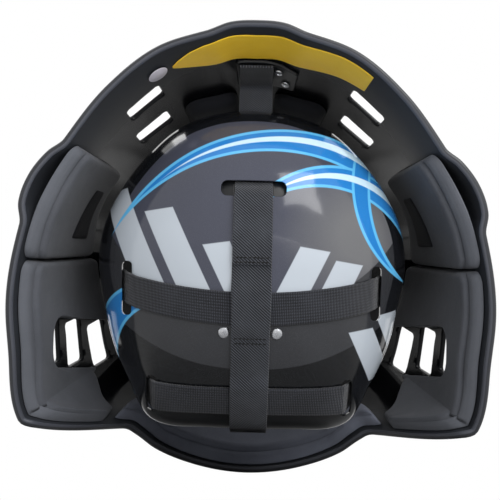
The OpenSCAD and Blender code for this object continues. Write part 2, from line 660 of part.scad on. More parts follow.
// A crowned pad on the plate's inner face
module plate_pad(half_w, low, top) {
    base = -plate_t - pad_gap - flat_relief;
    color([0.17, 0.175, 0.185]) skin([for (s = [-1, -0.94, -0.8, -0.5, 0, 0.5, 0.8, 0.94, 1])
        let (x = s * half_w, full = 0.4 + 0.6 * crown((s + 1) / 2),
             shrink = 4 * (1 - crown((s + 1) / 2)))
        concat(
            [for (q = [0:0.2:1]) on_plate(x, lerp(low + shrink, top - shrink, q), base)],
            [for (q = [1, 0.96, 0.8, 0.5, 0.2, 0.04, 0])
                on_plate(x, lerp(low + shrink, top - shrink, q),
                         base - plate_pad_t * full * (0.4 + 0.6 * crown(q)))])], turned = true);
}
module occipital_pad() {
    plate_pad(50, rivet_z + 9, crown_slot_z - 12);
}
module nape_pad() {
    plate_pad(36, plate_z - plate_fall + 12, rivet_z - 7);
}

// Harness

// One ring of a ribbon: its centre, the direction of its width and of its face
function band(c, across, face, w, t) =
    concat([for (k = [-1, 0, 1]) c + k * across * w / 2 - face * t / 2],
           [for (k = [1, 0, -1]) c + k * across * w / 2 + face * t / 2]);
// One ring of a ribbon that lies on the plate, from edge to edge
function plate_band(x, z, half, lift, t) =
    concat([for (k = [-1, 0, 1]) on_plate(x + k * half[0], z + k * half[1], lift)],
           [for (k = [1, 0, -1]) on_plate(x + k * half[0], z + k * half[1], lift + t)]);

// Middle of an elastic as it turns through its slot, on the right side
function slot_middle(x, z) =
    on_plate(x - slot_w / 2, z, 0) + [strap_gap + elastic_t / 2 + 0.9, plate_t / 2 + 0.6, 0];
toward_wall = unit([0.28, 1, 0]);
function slot_ring(x, z) =
    let (across = plate_slope(x - slot_w / 2, z))
    band(slot_middle(x, z), across, unit(cross(toward_wall, across)), elastic_w, elastic_t);
// A ring of the elastic where it turns over the slot's lip
function lip_ring(x, z) =
    let (p = on_plate(x - slot_w / 2, z, 0), across = plate_slope(x - slot_w / 2, z),
         turned = [1, -1, 0] - (across * [1, -1, 0]) * across, face = unit(turned))
    band(p + face * (strap_gap + elastic_t / 2), across, face, elastic_w, elastic_t);
function mirror_ring(r) = [for (p = r) [-p[0], p[1], p[2]]];

// The elastic across the back of the plate, from slot to slot
function elastic_rings(reach, drop, rise) =
    let (flat = [for (s = [0.9:-0.15:0.15]) s * reach],
         place = function (x) elastic_z(x, drop, rise, reach),
         ring = function (x)
             plate_band(x, place(x), [0, elastic_w / 2 * plate_slope(x, place(x))[2]],
                        strap_gap, elastic_t))
    concat([mirror_ring(slot_ring(reach, place(reach))),
            mirror_ring(lip_ring(reach, place(reach)))],
           [for (x = flat) mirror_ring(ring(x))], [ring(0)],
           [for (k = [len(flat) - 1:-1:0]) ring(flat[k])],
           [lip_ring(reach, place(reach)), slot_ring(reach, place(reach))]);
module elastic_across(reach, drop, rise) {
    color([0.17, 0.17, 0.19]) skin(elastic_rings(reach, drop, rise));
}
module upper_elastic() {
    elastic_across(upper_slot_x, upper_elastic_drop, upper_rise);
}
module lower_elastic() {
    elastic_across(lower_slot_x, lower_elastic_drop, lower_rise);
}

// The stretch of elastic from its slot to its anchor on the shell
anchor_tail = 0.05;
anchor_seat = wall + pad_gap + flat_relief;
module elastic_end(anchor, reach, z, left) {
    inner = -anchor_seat - elastic_t / 2;
    start = [for (p = slot_ring(reach, z)) p + strap_gap * toward_wall];
    function wall_band(v, d) =
        let (c = on_shell(anchor[0], v, d), face = on_shell(anchor[0], v, d + 1) - c,
             deeper = unit(on_shell(anchor[0], v + 0.01, d) - on_shell(anchor[0], v - 0.01, d)))
        band(c, cross(face, deeper), face, elastic_w, elastic_t);
    rings = [start,
             [for (k = [0:5]) lerp(start[k], wall_band(anchor[1] - 0.11, inner - 4)[k], 0.5)],
             wall_band(anchor[1] - 0.11, inner - 4),
             wall_band(anchor[1] - 0.065, inner - 0.2),
             wall_band(anchor[1], inner),
             wall_band(anchor[1] + anchor_tail, inner)];
    color([0.15, 0.15, 0.17]) mirror([left ? 1 : 0, 0, 0]) difference() {
        skin(rings);
        wall_hole(anchor[0], anchor[1], screw_d + screw_clear);
    }
}

washer_t = 1;
module anchor_washers() {
    color([0.35, 0.36, 0.38]) for (p = anchor_places()) on_wall(p[0], p[1])
        translate([0, 0, -anchor_seat - elastic_t - 2 * pad_gap - washer_t]) difference() {
            cylinder(h = washer_t, d = elastic_w - 3, $fn = 48);
            translate([0, 0, -1]) cylinder(h = washer_t + 2, d = screw_d + screw_clear, $fn = 32);
        }
}
module anchor_screws() {
    inside = anchor_seat + elastic_t + 2 * pad_gap + washer_t;
    color([0.72, 0.73, 0.75]) for (p = anchor_places()) on_wall(p[0], p[1]) {
        wall_screw(pad_gap, screw_d, pad_gap + inside, head_d);
        translate([0, 0, -inside]) mirror([0, 0, 1])
            rotate_extrude($fn = 24) polygon([[0, 0], [head_d / 2, 0], [head_d / 2 - 0.6, 1.6], [0, 1.6]]);
    }
}

// The webbing rises inside the plate from the crown slot to the bracket. It
// bends where it leaves the bracket, and the back plate swings from there.
slot_turn = on_plate(0, crown_slot_z - 1, 0) + [0, plate_t / 2, 0];
slot_face = unit([0, -0.6, 0.8]);
bracket_face = -wall - pad_gap - bracket_t - 3 * flat_relief - webbing_t / 2;
swing_at = on_shell(90, 0.36, bracket_face) + [0, 0, -2];
module crown_webbing() {
    brim = plate_bare(90, 1) + [0, webbing_t / 2 + plate_t / 2 + 0.8, 0];
    x = [-1, 0, 0];
    function hung(v) =
        let (c = on_shell(90, v, bracket_face))
        band(c, x, on_shell(90, v, bracket_face - 1) - c, webbing_w, webbing_t);
    color([0.14, 0.14, 0.16]) skin([
        band(slot_turn, x, slot_face, webbing_w, webbing_t),
        band(slot_turn + [0, 9, 7], x, slot_face, webbing_w, webbing_t),
        band(brim + [0, -1, -6], x, unit([0, -0.8, 0.6]), webbing_w, webbing_t),
        band(brim + [0, 0, 1], x, unit([0, -1, 0.2]), webbing_w, webbing_t),
        band(lerp(brim, swing_at, 0.7), x, [0, -1, 0], webbing_w, webbing_t),
        band(swing_at, x, unit([0, -1, -0.4]), webbing_w, webbing_t),
        hung(0.33), hung(0.3), hung(0.265), hung(0.235)]);
}

// The spine comes out of the crown slot, runs down over the elastics and
// ends in a free tail below the plate
module spine_webbing() {
    over = 2 * strap_gap + elastic_t;
    x = [-1, 0, 0];
    half = [-webbing_w / 2, 0];
    lip_z = crown_slot_z - crown_slot_height / 2;
    up_z = -upper_elastic_drop;
    low_z = -lower_elastic_drop;
    lay = [[lip_z - 4, strap_gap], [(lip_z + up_z) / 2 + 6, strap_gap],
           [up_z + elastic_w / 2 + 8, strap_gap], [up_z + elastic_w / 2 + 1, over],
           [up_z - elastic_w / 2 - 1, over], [up_z - elastic_w / 2 - 7, strap_gap + 0.2],
           [low_z + elastic_w / 2 + 6, strap_gap + 0.2], [low_z + elastic_w / 2, over + strap_gap],
           [low_z, over + strap_gap], [low_z - elastic_w / 2 - 0.5, over + strap_gap]];
    function round_edge(f, lift) =
        let (c = plate_point(-90, f, lift + webbing_t / 2))
        band(c, x, plate_point(-90, f, lift + webbing_t / 2 + 1) - c, webbing_w, webbing_t);
    tail = plate_point(-90, 0.93, strap_gap + webbing_t / 2) + spine_tail * unit([0, 1, -0.3]);
    color([0.15, 0.15, 0.17]) skin(concat(
        [band(slot_turn, x, slot_face, webbing_w, webbing_t),
         band(on_plate(0, lip_z, 0) + [0, -0.7, 0.7] * (strap_gap + webbing_t / 2), x,
              unit([0, -0.7, 0.7]), webbing_w, webbing_t)],
        [for (k = [0:len(lay) - 2], s = [0:0.34:1]) let (p = lerp(lay[k], lay[k + 1], s))
            plate_band(0, p[0], half, p[1], webbing_t)],
        [round_edge(0.82, over), round_edge(0.88, (over + strap_gap) / 2), round_edge(0.93, strap_gap)],
        [band(tail, x, unit([0, -0.3, -1]), webbing_w, webbing_t)]), turned = true);
}

stand() mask_shell();
stand() face_cage();
stand() cage_clips();
stand() cage_screws();
stand() cage_nuts();
stand() forehead_pad(true);  // forehead_pad_left
stand() forehead_pad(false);  // forehead_pad_right
stand() temple_pad(true);  // temple_pad_left
stand() temple_pad(false);  // temple_pad_right
stand() jaw_pad(true);  // jaw_pad_left
stand() jaw_pad(false);  // jaw_pad_right
stand() chin_pad();
stand() rim_label();
stand() size_disc();
stand() crown_bracket();
stand() crown_screws();
stand() back_plate();
stand() occipital_pad();
stand() nape_pad();
stand() crown_webbing();
stand() spine_webbing();
stand() upper_elastic();
stand() lower_elastic();
stand() elastic_end(UPPER_ANCHOR, upper_slot_x, upper_z(upper_slot_x), true);  // upper_elastic_left
stand() elastic_end(UPPER_ANCHOR, upper_slot_x, upper_z(upper_slot_x), false);  // upper_elastic_right
stand() elastic_end(LOWER_ANCHOR, lower_slot_x, lower_z(lower_slot_x), true);  // lower_elastic_left
stand() elastic_end(LOWER_ANCHOR, lower_slot_x, lower_z(lower_slot_x), false);  // lower_elastic_right
stand() plate_rivets();
stand() anchor_screws();
stand() anchor_washers();
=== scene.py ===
import math
from bisect import bisect_right
from functools import lru_cache

import bmesh
import bpy
from mathutils import Matrix, Vector, noise


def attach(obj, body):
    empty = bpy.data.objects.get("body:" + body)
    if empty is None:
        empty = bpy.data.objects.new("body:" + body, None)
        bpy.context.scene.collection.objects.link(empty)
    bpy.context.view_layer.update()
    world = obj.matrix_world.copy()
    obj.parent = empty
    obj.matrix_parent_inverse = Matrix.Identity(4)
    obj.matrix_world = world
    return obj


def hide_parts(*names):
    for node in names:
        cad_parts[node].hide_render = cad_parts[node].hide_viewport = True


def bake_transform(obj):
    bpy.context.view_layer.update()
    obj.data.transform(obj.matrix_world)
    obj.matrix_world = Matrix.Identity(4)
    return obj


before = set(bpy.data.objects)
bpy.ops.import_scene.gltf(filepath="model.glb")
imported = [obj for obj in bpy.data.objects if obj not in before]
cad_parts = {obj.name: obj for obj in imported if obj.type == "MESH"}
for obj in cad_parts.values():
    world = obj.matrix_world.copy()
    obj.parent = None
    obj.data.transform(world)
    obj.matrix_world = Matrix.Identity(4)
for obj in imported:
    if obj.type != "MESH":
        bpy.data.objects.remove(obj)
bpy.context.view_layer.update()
ops = bmesh.ops

# Sizes of the helmet as worn, in millimetres

SHELL_W, CROWN_H, CHIN_DROP, WALL, RIM_BEAD = 260, 125.3, 148, 3.2, 0.9
CROWN_RIM_Y, CHIN_RIM_Y, BROW_Y, BROW_HEIGHT = 12, 120, 168, 52
FACE_CURVE_R, FACE_LEAN, RIM_EASE, OPENING_EASE = 112, 0.11, 0.33, 0.61
CROWN_SLOT, CHEEK_SLOT, SLOT_CORNER = (24.6, 16), (27.4, 18.6), 2.6
SIDE_PAD_T, BROW_PAD_T, CHIN_PAD_T, PLATE_PAD_T = 8.5, 9, 10, 7
GAP, RELIEF, LABEL_T = 0.3, 0.4, 0.4
WINDOW_H, WINDOW_Y, WINDOW_L, WINDOW_CORNER = 30, 33, 80, 12
PLATE_T, PLATE_W, PLATE_RISE, PLATE_FALL = 3, 178, 91, 90
PLATE_Z, PLATE_BACK, PLATE_FRONT, PLATE_WRAP = -8, 20, 60, 85
WEB_W, WEB_T, ELASTIC_W, ELASTIC_T, STRAP_GAP = 20, 1.6, 17, 1.5, 0.3
UPPER_DROP, LOWER_DROP, UPPER_RISE, LOWER_RISE = 30, 79, 8, 1
UPPER_SLOT_X, LOWER_SLOT_X, UPPER_SLOT_H, LOWER_SLOT_H, SLOT_W = 67, 52, 29, 20, 6
CROWN_SLOT_Z, CROWN_SLOT_LEN, CROWN_SLOT_HEIGHT, SPINE_TAIL = 32, 34, 8, 10
WIRE_D, CAGE_BULGE, CROSS_BARS, UPRIGHT_BARS, WIRE_SHARE = 4, 29, 5, 4, 0.945
SCREW_D, HEAD_D, HEAD_H, NUT_D, CLIP_T, CLIP_W, CLIP_REACH = 5, 9, 2.6, 11, 1.6, 12, 14
BRACKET_T, CROWN_SCREW_D, CROWN_HEAD_D, CROWN_HEAD_H = 1.6, 3, 5.5, 1.4
RIVET_X, RIVET_Z, RIVET_HEAD_D = 13.4, -42.5, 6
UPPER_ANCHOR, LOWER_ANCHOR, BROW_CLIP, CHEEK_CLIP = (-7, 0.82), (-44, 0.72), 67, -38
ANCHOR_SEAT = WALL + GAP + RELIEF

# How the worn helmet is tipped back and set down
TIP, FLOOR_Z, SHIFT = math.radians(24.1464), -86.2971, -84.1605

# The rear rim as shares of the half width, of the height, of CROWN_RIM_Y and of
# CHIN_RIM_Y. The other tables give a value for each angle, from straight down to
# straight up on the right side.
RIM = [(0, -1, 0, 1), (0.283, -0.951, 0, 0.933), (0.454, -0.872, 0, 0.833),
       (0.538, -0.797, 0, 0.733), (0.598, -0.761, 0, 0.667), (0.892, -0.672, 0, 0.1),
       (0.955, -0.642, 0, 0.067), (0.988, -0.401, 0.17, 0), (1, -0.25, 0, 0),
       (0.953, 0.085, 0, 0), (0.959, 0.182, 0, 0), (0.925, 0.297, 0.17, 0),
       (0.856, 0.397, 0.33, 0), (0.789, 0.457, 0.5, 0), (0.623, 0.693, 0.75, 0),
       (0.418, 0.873, 0.92, 0), (0.215, 0.950, 1, 0), (0.112, 0.991, 1, 0), (0, 1, 1, 0)]
EAR_POINTS = (10, 11, 12)
OPENING_R = [(-90, 80), (-70, 83), (-55, 87), (-40, 81), (-20, 82), (0, 87), (15, 91.5),
             (30, 87), (40, 75), (60, 58), (90, 52)]
RIM_DRAFT = [(-90, 4), (-50, 6), (0, 7), (40, 10), (90, 15)]
BROW_ROUND = [(-90, -12), (-60, 20), (-40, 35), (0, 38), (45, 34), (90, 28)]
PLATE_R = [(-90, 1), (-75, 1.035), (-58, 1.13), (-45, 1.055), (-30, 1.01), (-15, 0.98),
           (0, 1), (15, 1), (30, 0.985), (45, 0.985), (60, 1.005), (75, 1.005), (90, 1)]
PLATE_EDGE = [(-90, 0.28), (-58, 0.31), (-30, 0.55), (0, 0.76), (30, 0.86), (60, 0.93),
              (90, 1)]


def lerp(a, b, t):
    return a + (b - a) * t


def cosd(a):
    return math.cos(math.radians(a))


def sind(a):
    return math.sin(math.radians(a))


def both(a):
    """An angle of the right side and its twin on the left."""
    return a, 180 - a


def flipped(p):
    return Vector((-p[0], p[1], p[2]))


def stood(p):
    """A worn point in millimetres, as it stands on the floor, in metres."""
    return Vector((p[0], p[1] * math.cos(TIP) - p[2] * math.sin(TIP) + SHIFT,
                   p[1] * math.sin(TIP) + p[2] * math.cos(TIP) - FLOOR_Z)) * 0.001


def row_at(table, x):
    """The row of a table, sorted by first values, from which x lies on to the next."""
    return min(max(bisect_right(table, x, key=lambda p: p[0]) - 1, 0), len(table) - 2)


def cubic(table, x):
    """Cubic curve through (place, value) pairs, which may be numbers or points."""
    k = row_at(table, x)
    (x1, y1), (x2, y2) = table[k], table[k + 1]
    x0, y0 = table[max(k - 1, 0)]
    x3, y3 = table[min(k + 2, len(table) - 1)]
    h = x2 - x1
    s = (x - x1) / h
    m1 = (y2 - y0) / (x2 - x0)
    m2 = (y3 - y1) / (x3 - x1)
    return ((1 + 2 * s) * (1 - s) ** 2 * y1 + s * (1 - s) ** 2 * h * m1
            + s * s * (3 - 2 * s) * y2 + s * s * (s - 1) * h * m2)


def mirrored(table):
    """The table carried on to the left side by three rows at both ends."""
    return ([(-180 - a, v) for a, v in table[3:0:-1]] + list(table)
            + [(180 - a, v) for a, v in table[-2:-5:-1]])


def right_side(a):
    return 180 - a if a > 90 else -180 - a if a < -90 else a


def polar(x, y):
    """Angle from -90 to 270 degrees, and the distance from the middle."""
    a = math.degrees(math.atan2(y, x))
    return (a + 360 if a < -90 else a), math.hypot(x, y)


# Surface of the shell

def rim_tables(skipped):
    """Radius and depth of the rear rim for each angle."""
    spots = [(p[0] * SHELL_W / 2, p[1] * (CROWN_H if p[1] > 0 else CHIN_DROP),
              p[2] * CROWN_RIM_Y + p[3] * CHIN_RIM_Y)
             for k, p in enumerate(RIM) if k not in skipped]
    angle = [round(math.degrees(math.atan2(z, x)), 6) for x, z, _ in spots]
    return (mirrored([(a, math.hypot(s[0], s[1])) for a, s in zip(angle, spots)]),
            mirrored([(a, s[2]) for a, s in zip(angle, spots)]))


# The wall with its bulge at the ears, and the smoother face that the pads lie on
RIMS = {False: rim_tables(()), True: rim_tables(EAR_POINTS)}
OPENING, DRAFT, ROUND = mirrored(OPENING_R), mirrored(RIM_DRAFT), mirrored(BROW_ROUND)
TURN_STEP, DEPTH_STEP = 0.25, 0.004


@lru_cache(maxsize=None)
def meridian(a, lined):
    """The wall's section at an angle: four control points as (radius, depth)."""
    r0, y0 = (cubic(t, a) for t in RIMS[lined])
    r3 = cubic(OPENING, a)
    x, z = r3 * cosd(a), r3 * sind(a)
    y3 = BROW_Y - x * x / (2 * FACE_CURVE_R) - (z - BROW_HEIGHT) * FACE_LEAN
    return ((r0, y0), (r0 - cubic(DRAFT, a), y0 + RIM_EASE * (y3 - y0)),
            (lerp(r3, r0, OPENING_EASE), y3 - cubic(ROUND, a)), (r3, y3))


def on_meridian(a, v, lined):
    c = meridian(round(a, 3), lined)
    w = ((1 - v) ** 3, 3 * v * (1 - v) ** 2, 3 * v * v * (1 - v), v ** 3)
    r, y = (sum(k * p[n] for k, p in zip(w, c)) for n in (0, 1))
    return Vector((r * cosd(a), y, r * sind(a)))


def on_shell(a, v, d, lined=False):
    """A point of the wall at angle a and share of depth v, d outside its outer face."""
    b = right_side(a)
    p = on_meridian(b, v, lined)
    if d:
        along = (on_meridian(b + TURN_STEP, v, lined)
                 - on_meridian(b - TURN_STEP, v, lined))
        deeper = (on_meridian(b, min(1, v + DEPTH_STEP), lined)
                  - on_meridian(b, max(0, v - DEPTH_STEP), lined))
        p = p + d * deeper.cross(along).normalized()
    return flipped(p) if abs(a) > 90 else p


def frame_at(place, x, y, z):
    return Matrix.Translation(place) @ Matrix((x, y, z)).transposed().to_4x4()


def raised(height):
    return Matrix.Translation((0, 0, height))


def wall_frame(a, v):
    """A frame on the wall: X around, Y forwards, Z outwards."""
    p = on_shell(a, v, 0)
    z = on_shell(a, v, 1) - p
    y = on_shell(a, v + 0.01, 0) - p
    y = (y - y.dot(z) * z).normalized()
    return frame_at(p, y.cross(z), y, z)


# Surface of the back plate

PLATE_RADII, PLATE_EDGES = mirrored(PLATE_R), mirrored(PLATE_EDGE)
WRAP = math.radians(PLATE_WRAP)
PLATE_TURN, PLATE_STEP, PLATE_MIDDLE = 0.5, 0.004, 0.03


@lru_cache(maxsize=None)
def plate_radius(a):
    b = right_side(a)
    h, w = (PLATE_RISE if b > 0 else PLATE_FALL), PLATE_W / 2
    return cubic(PLATE_RADII, b) * w * h / math.hypot(h * cosd(b), w * sind(b))


def plate_bare(a, f):
    """A point of the outer face at angle a and share f of the way to the edge."""
    q = f * WRAP
    top = cubic(PLATE_EDGES, right_side(a)) * PLATE_FRONT
    r = plate_radius(round(a, 4)) * math.sin(q) / math.sin(WRAP)
    return Vector((r * cosd(a),
                   -PLATE_BACK + (top + PLATE_BACK) * (1 - math.cos(q)) / (1 - math.cos(WRAP)),
                   PLATE_Z + r * sind(a)))


def plate_point(a, f, d):
    """A point of the back plate, d outside its outer face."""
    n = max(f, PLATE_MIDDLE)
    out = (plate_bare(a, n + PLATE_STEP) - plate_bare(a, n - PLATE_STEP)).cross(
        plate_bare(a + PLATE_TURN, n) - plate_bare(a - PLATE_TURN, n)).normalized()
    return plate_bare(a, f) + d * out


def plate_share(x, z):
    """Angle and share of the way to the edge of a place across and up."""
    a, r = polar(x, z - PLATE_Z)
    return a, math.asin(min(0.9999, r * math.sin(WRAP) / plate_radius(round(a, 4)))) / WRAP


def on_plate(x, z, d):
    return plate_point(*plate_share(x, z), d)


def plate_slope(x, z):
    return (on_plate(x, z + 1, 0) - on_plate(x, z - 1, 0)).normalized()


def plate_frame(x, z):
    """A frame on the back plate: X across, Y upwards, Z out of the plate."""
    p = on_plate(x, z, 0)
    n, v = on_plate(x, z, 1) - p, plate_slope(x, z)
    return frame_at(p, v.cross(n), v, n)


# Working forms. A piece of the wall is worked as part of a plain tube, and a
# piece of the back plate as part of a plain disc. Its slots are cut there, and
# then the whole form is drawn to its curved surface.

TUBE_R, TUBE_L, DISC_R = 100, 150, 100


def in_tube(a, v, d):
    return Vector(((TUBE_R + d) * cosd(a), TUBE_L * v, (TUBE_R + d) * sind(a)))


def lie_layer(bm):
    layers = bm.verts.layers.float_vector
    return layers.get("lie") or layers.new("lie")


def draw_to_wall(bm, lined=False):
    """Each point remembers its angle and its depth in hundredths."""
    lie = lie_layer(bm)
    for vert in bm.verts:
        a, r = polar(vert.co.x, vert.co.z)
        v = vert.co.y / TUBE_L
        vert[lie] = (a, v * 100, r - TUBE_R)
        vert.co = stood(on_shell(a, v, r - TUBE_R, lined))
        vert.co.z = max(vert.co.z, 0)
    return bm


def draw_to_plate(bm):
    """Each point remembers its place across and up, and its share of the radius."""
    lie = lie_layer(bm)
    for vert in bm.verts:
        a, r = polar(vert.co.x, vert.co.y)
        p = plate_point(a, r / DISC_R, vert.co.z)
        vert[lie] = (p[0], p[2], r)
        vert.co = stood(p)
    return bm


def stand(bm, matrix=None):
    """Sets a form made in millimetres down in its place."""
    if matrix is not None:
        bm.transform(matrix)
    for vert in bm.verts:
        vert.co = stood(vert.co)
    return bm


# Small steps around and deeper on the wall, and across and up on the disc
WALL_STEPS, DISC_STEPS = (0.05, 0.001), (0.05, 0.05)


def settle(seen, wanted, guess, steps, furthest=(400, 200)):
    """The two places at which seen(place) is the wanted pair, by Newton's steps, each
    no longer than the furthest number of small steps."""
    (u, w), best, least = guess, guess, math.inf
    for _ in range(9):
        p, pu, pw = seen(u, w), seen(u + steps[0], w), seen(u, w + steps[1])
        ex, ey = wanted[0] - p[0], wanted[1] - p[1]
        off = math.hypot(ex, ey)
        if off < least:
            best, least = (u, w), off
        a, b = (pu[0] - p[0]) / steps[0], (pw[0] - p[0]) / steps[1]
        c, d = (pu[1] - p[1]) / steps[0], (pw[1] - p[1]) / steps[1]
        det = a * d - b * c
        far = [k * step for k, step in zip(furthest, steps)]
        u += max(-far[0], min(far[0], (d * ex - b * ey) / det))
        w += max(-far[1], min(far[1], (a * ey - c * ex) / det))
    return best


def rounded(w, h, r, steps=6):
    """Outline of a rounded slot, anticlockwise."""
    turns = [(1, 1, 0), (-1, 1, 90), (-1, -1, 180), (1, -1, 270)]
    return [(sx * (w / 2 - r) + r * cosd(t + 90 * q / steps),
             sy * (h / 2 - r) + r * sind(t + 90 * q / steps))
            for sx, sy, t in turns for q in range(steps + 1)]


def only(kind, geom):
    return [g for g in geom if isinstance(g, getattr(bmesh.types, kind))]


def new_form():
    bm = bmesh.new()
    bm.verts.layers.int.new("corner")
    lie_layer(bm)
    return bm


def rod(bm, rings, lies=None, joined=False):
    """A circle is set to the first ring, and extruded from each ring to the next."""
    corner, lie = bm.verts.layers.int["corner"], lie_layer(bm)
    filled = bm.calc_volume(signed=True)
    fresh = ops.create_circle(bm, cap_ends=not joined, segments=len(rings[0]),
                              radius=1)["verts"]
    for k, vert in enumerate(fresh):
        vert[corner] = k
    if joined:
        end = list(dict.fromkeys(e for vert in fresh for e in vert.link_edges))
    else:
        end = fresh[0].link_faces[:]
    made = []
    for n, ring in enumerate(rings):
        if n and joined:
            out = ops.extrude_edge_only(bm, edges=end)["geom"]
            end = only("BMEdge", out)
        elif n:
            out = ops.extrude_face_region(bm, geom=end)["geom"]
            if n > 1:
                ops.delete(bm, geom=end, context="FACES_ONLY")
            end = only("BMFace", out)
        if n:
            fresh = only("BMVert", out)
        for vert in fresh:
            vert.co = ring[vert[corner]]
            if lies:
                vert[lie] = lies[n][vert[corner]]
        made += fresh
    if joined:
        ops.remove_doubles(bm, verts=made, dist=1e-4)
    faces = list(dict.fromkeys(f for vert in made if vert.is_valid for f in vert.link_faces))
    ops.recalc_face_normals(bm, faces=faces)
    if bm.calc_volume(signed=True) < filled:
        ops.reverse_faces(bm, faces=faces)


def as_mesh(name, bm):
    mesh = bpy.data.meshes.new(name)
    bm.to_mesh(mesh)
    bm.free()
    return mesh


def put(name, data):
    """An object in the scene."""
    ob = bpy.data.objects.new(name, data)
    bpy.context.scene.collection.objects.link(ob)
    return ob


def cut(bm, tool, solver="EXACT"):
    """The form with the tool's volume taken out."""
    pair = [put("cutting", as_mesh("cutting", form)) for form in (bm, tool)]
    step = pair[0].modifiers.new("cut", "BOOLEAN")
    step.operation, step.solver, step.object = "DIFFERENCE", solver, pair[1]
    done = pair[0].evaluated_get(bpy.context.evaluated_depsgraph_get())
    mesh = bpy.data.meshes.new_from_object(done)
    out = bmesh.new()
    out.from_mesh(mesh)
    for used in (mesh, pair[0].data, pair[1].data):
        bpy.data.meshes.remove(used)
    ops.triangulate(out, faces=[f for f in out.faces if len(f.verts) > 4])
    return out


# Levels through a wall, and how much wider a slot is there, for rounded lips
LIP = [(2.0, 2.6), (0.6, 1.2), (0.0, 0.6), (-0.18, 0.18), (-0.6, 0.0)]


def lipped(thick):
    return LIP + [(-thick - d, wide) for d, wide in reversed(LIP)]


def wall_slot(bm, place, size):
    """A tool for a rounded slot, straight through the wall."""
    back = wall_frame(*place).inverted()
    rings = []
    for d, wide in lipped(WALL):
        def seen(a, v):
            return (back @ on_shell(a, v, d))[:2]
        outline = rounded(size[0] + 2 * wide, size[1] + 2 * wide, SLOT_CORNER + wide)
        rings.append([in_tube(*settle(seen, p, place, WALL_STEPS), d) for p in outline])
    rod(bm, rings)


def plate_slot(bm, x, z, w, h):
    """A tool for a rounded slot, straight through the back plate from behind."""
    rings = []
    for d, wide in lipped(PLATE_T):
        def seen(u, v):
            a, r = polar(u, v)
            p = plate_point(a, r / DISC_R, d)
            return p[0], p[2]
        ring = []
        for px, pz in rounded(w + wide, h + wide, (min(w, h) + wide) * 0.4):
            a, f = plate_share(x + px, z + pz)
            guess = (DISC_R * f * cosd(a), DISC_R * f * sind(a))
            ring.append(Vector((*settle(seen, (x + px, z + pz), guess, DISC_STEPS), d)))
        rings.append(ring)
    rod(bm, rings)


def spun(bm, axis, steps, apart):
    """Turns all of the form once around an axis."""
    ops.spin(bm, geom=bm.verts[:] + bm.edges[:], cent=(0, 0, 0), axis=axis, dvec=(0, 0, 0),
             angle=2 * math.pi, steps=steps, use_merge=True, use_duplicate=False)
    ops.remove_doubles(bm, verts=bm.verts[:], dist=apart)
    ops.recalc_face_normals(bm, faces=bm.faces[:])
    return bm


def turned(profile, steps=40):
    """A form turned on the Z axis from (radius, height) points, bottom to top."""
    bm = new_form()
    line = [bm.verts.new((r, 0, z)) for r, z in profile]
    for pair in zip(line, line[1:]):
        bm.edges.new(pair)
    return spun(bm, (0, 0, 1), steps, 1e-4)


def upside_down(bm, drop=0):
    bm.transform(raised(-drop) @ Matrix.Scale(-1, 4, (0, 0, 1)))
    ops.reverse_faces(bm, faces=bm.faces[:])
    return bm


def gather(forms):
    """One form out of several."""
    out = new_form()
    for form in forms:
        mesh = as_mesh("part", form)
        out.from_mesh(mesh)
        bpy.data.meshes.remove(mesh)
    return out


def placed(make, matrices):
    """One form from make() at each place."""
    return gather([stand(make(), matrix) for matrix in matrices])


def piece(name, bm, finishes, nodes=(), body="mask", slot=None, sharp=35, bends=None,
          fill=None):
    """Turns a finished form into a piece of the helmet. The slot is not used. A piece given
    bends is not hung on a body."""
    for face in bm.faces:
        face.smooth = True
    for edge in bm.edges:
        edge.smooth = not (edge.is_manifold
                           and edge.calc_face_angle(0) > math.radians(sharp))
    mesh = as_mesh(name, bm)
    if not isinstance(finishes, list):
        finishes = [finishes]
    for finish in finishes:
        mesh.materials.append(finish)
    ob = put(name, mesh)
    if bends:
        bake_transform(ob)
    else:
        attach(ob, body)
    if nodes:
        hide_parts(*nodes)


# Finishes. Colours are written as a picture shows them, in hexadecimal.

def paint(shown):
    return tuple(((c / 255 + 0.055) / 1.055) ** 2.4 if c > 10 else c / 255 / 12.92
                 for c in bytes.fromhex(shown)) + (1,)


class Nodes:
    """Adds nodes to a tree and links them."""

    def __init__(self, tree):
        self.tree = tree

    def link(self, value, socket):
        if isinstance(value, bpy.types.NodeSocket):
            self.tree.links.new(value, socket)
        else:
            socket.default_value = value

    def node(self, kind, inputs=(), **settings):
        made = self.tree.nodes.new("ShaderNode" + kind)
        for key, value in settings.items():
            setattr(made, key, value)
        for key, value in dict(inputs).items():
            self.link(value, made.inputs[key])
        return made

    def maths(self, operation, a, b=0.0, c=0.0):
        return self.node("Math", {0: a, 1: b, 2: c}, operation=operation).outputs[0]


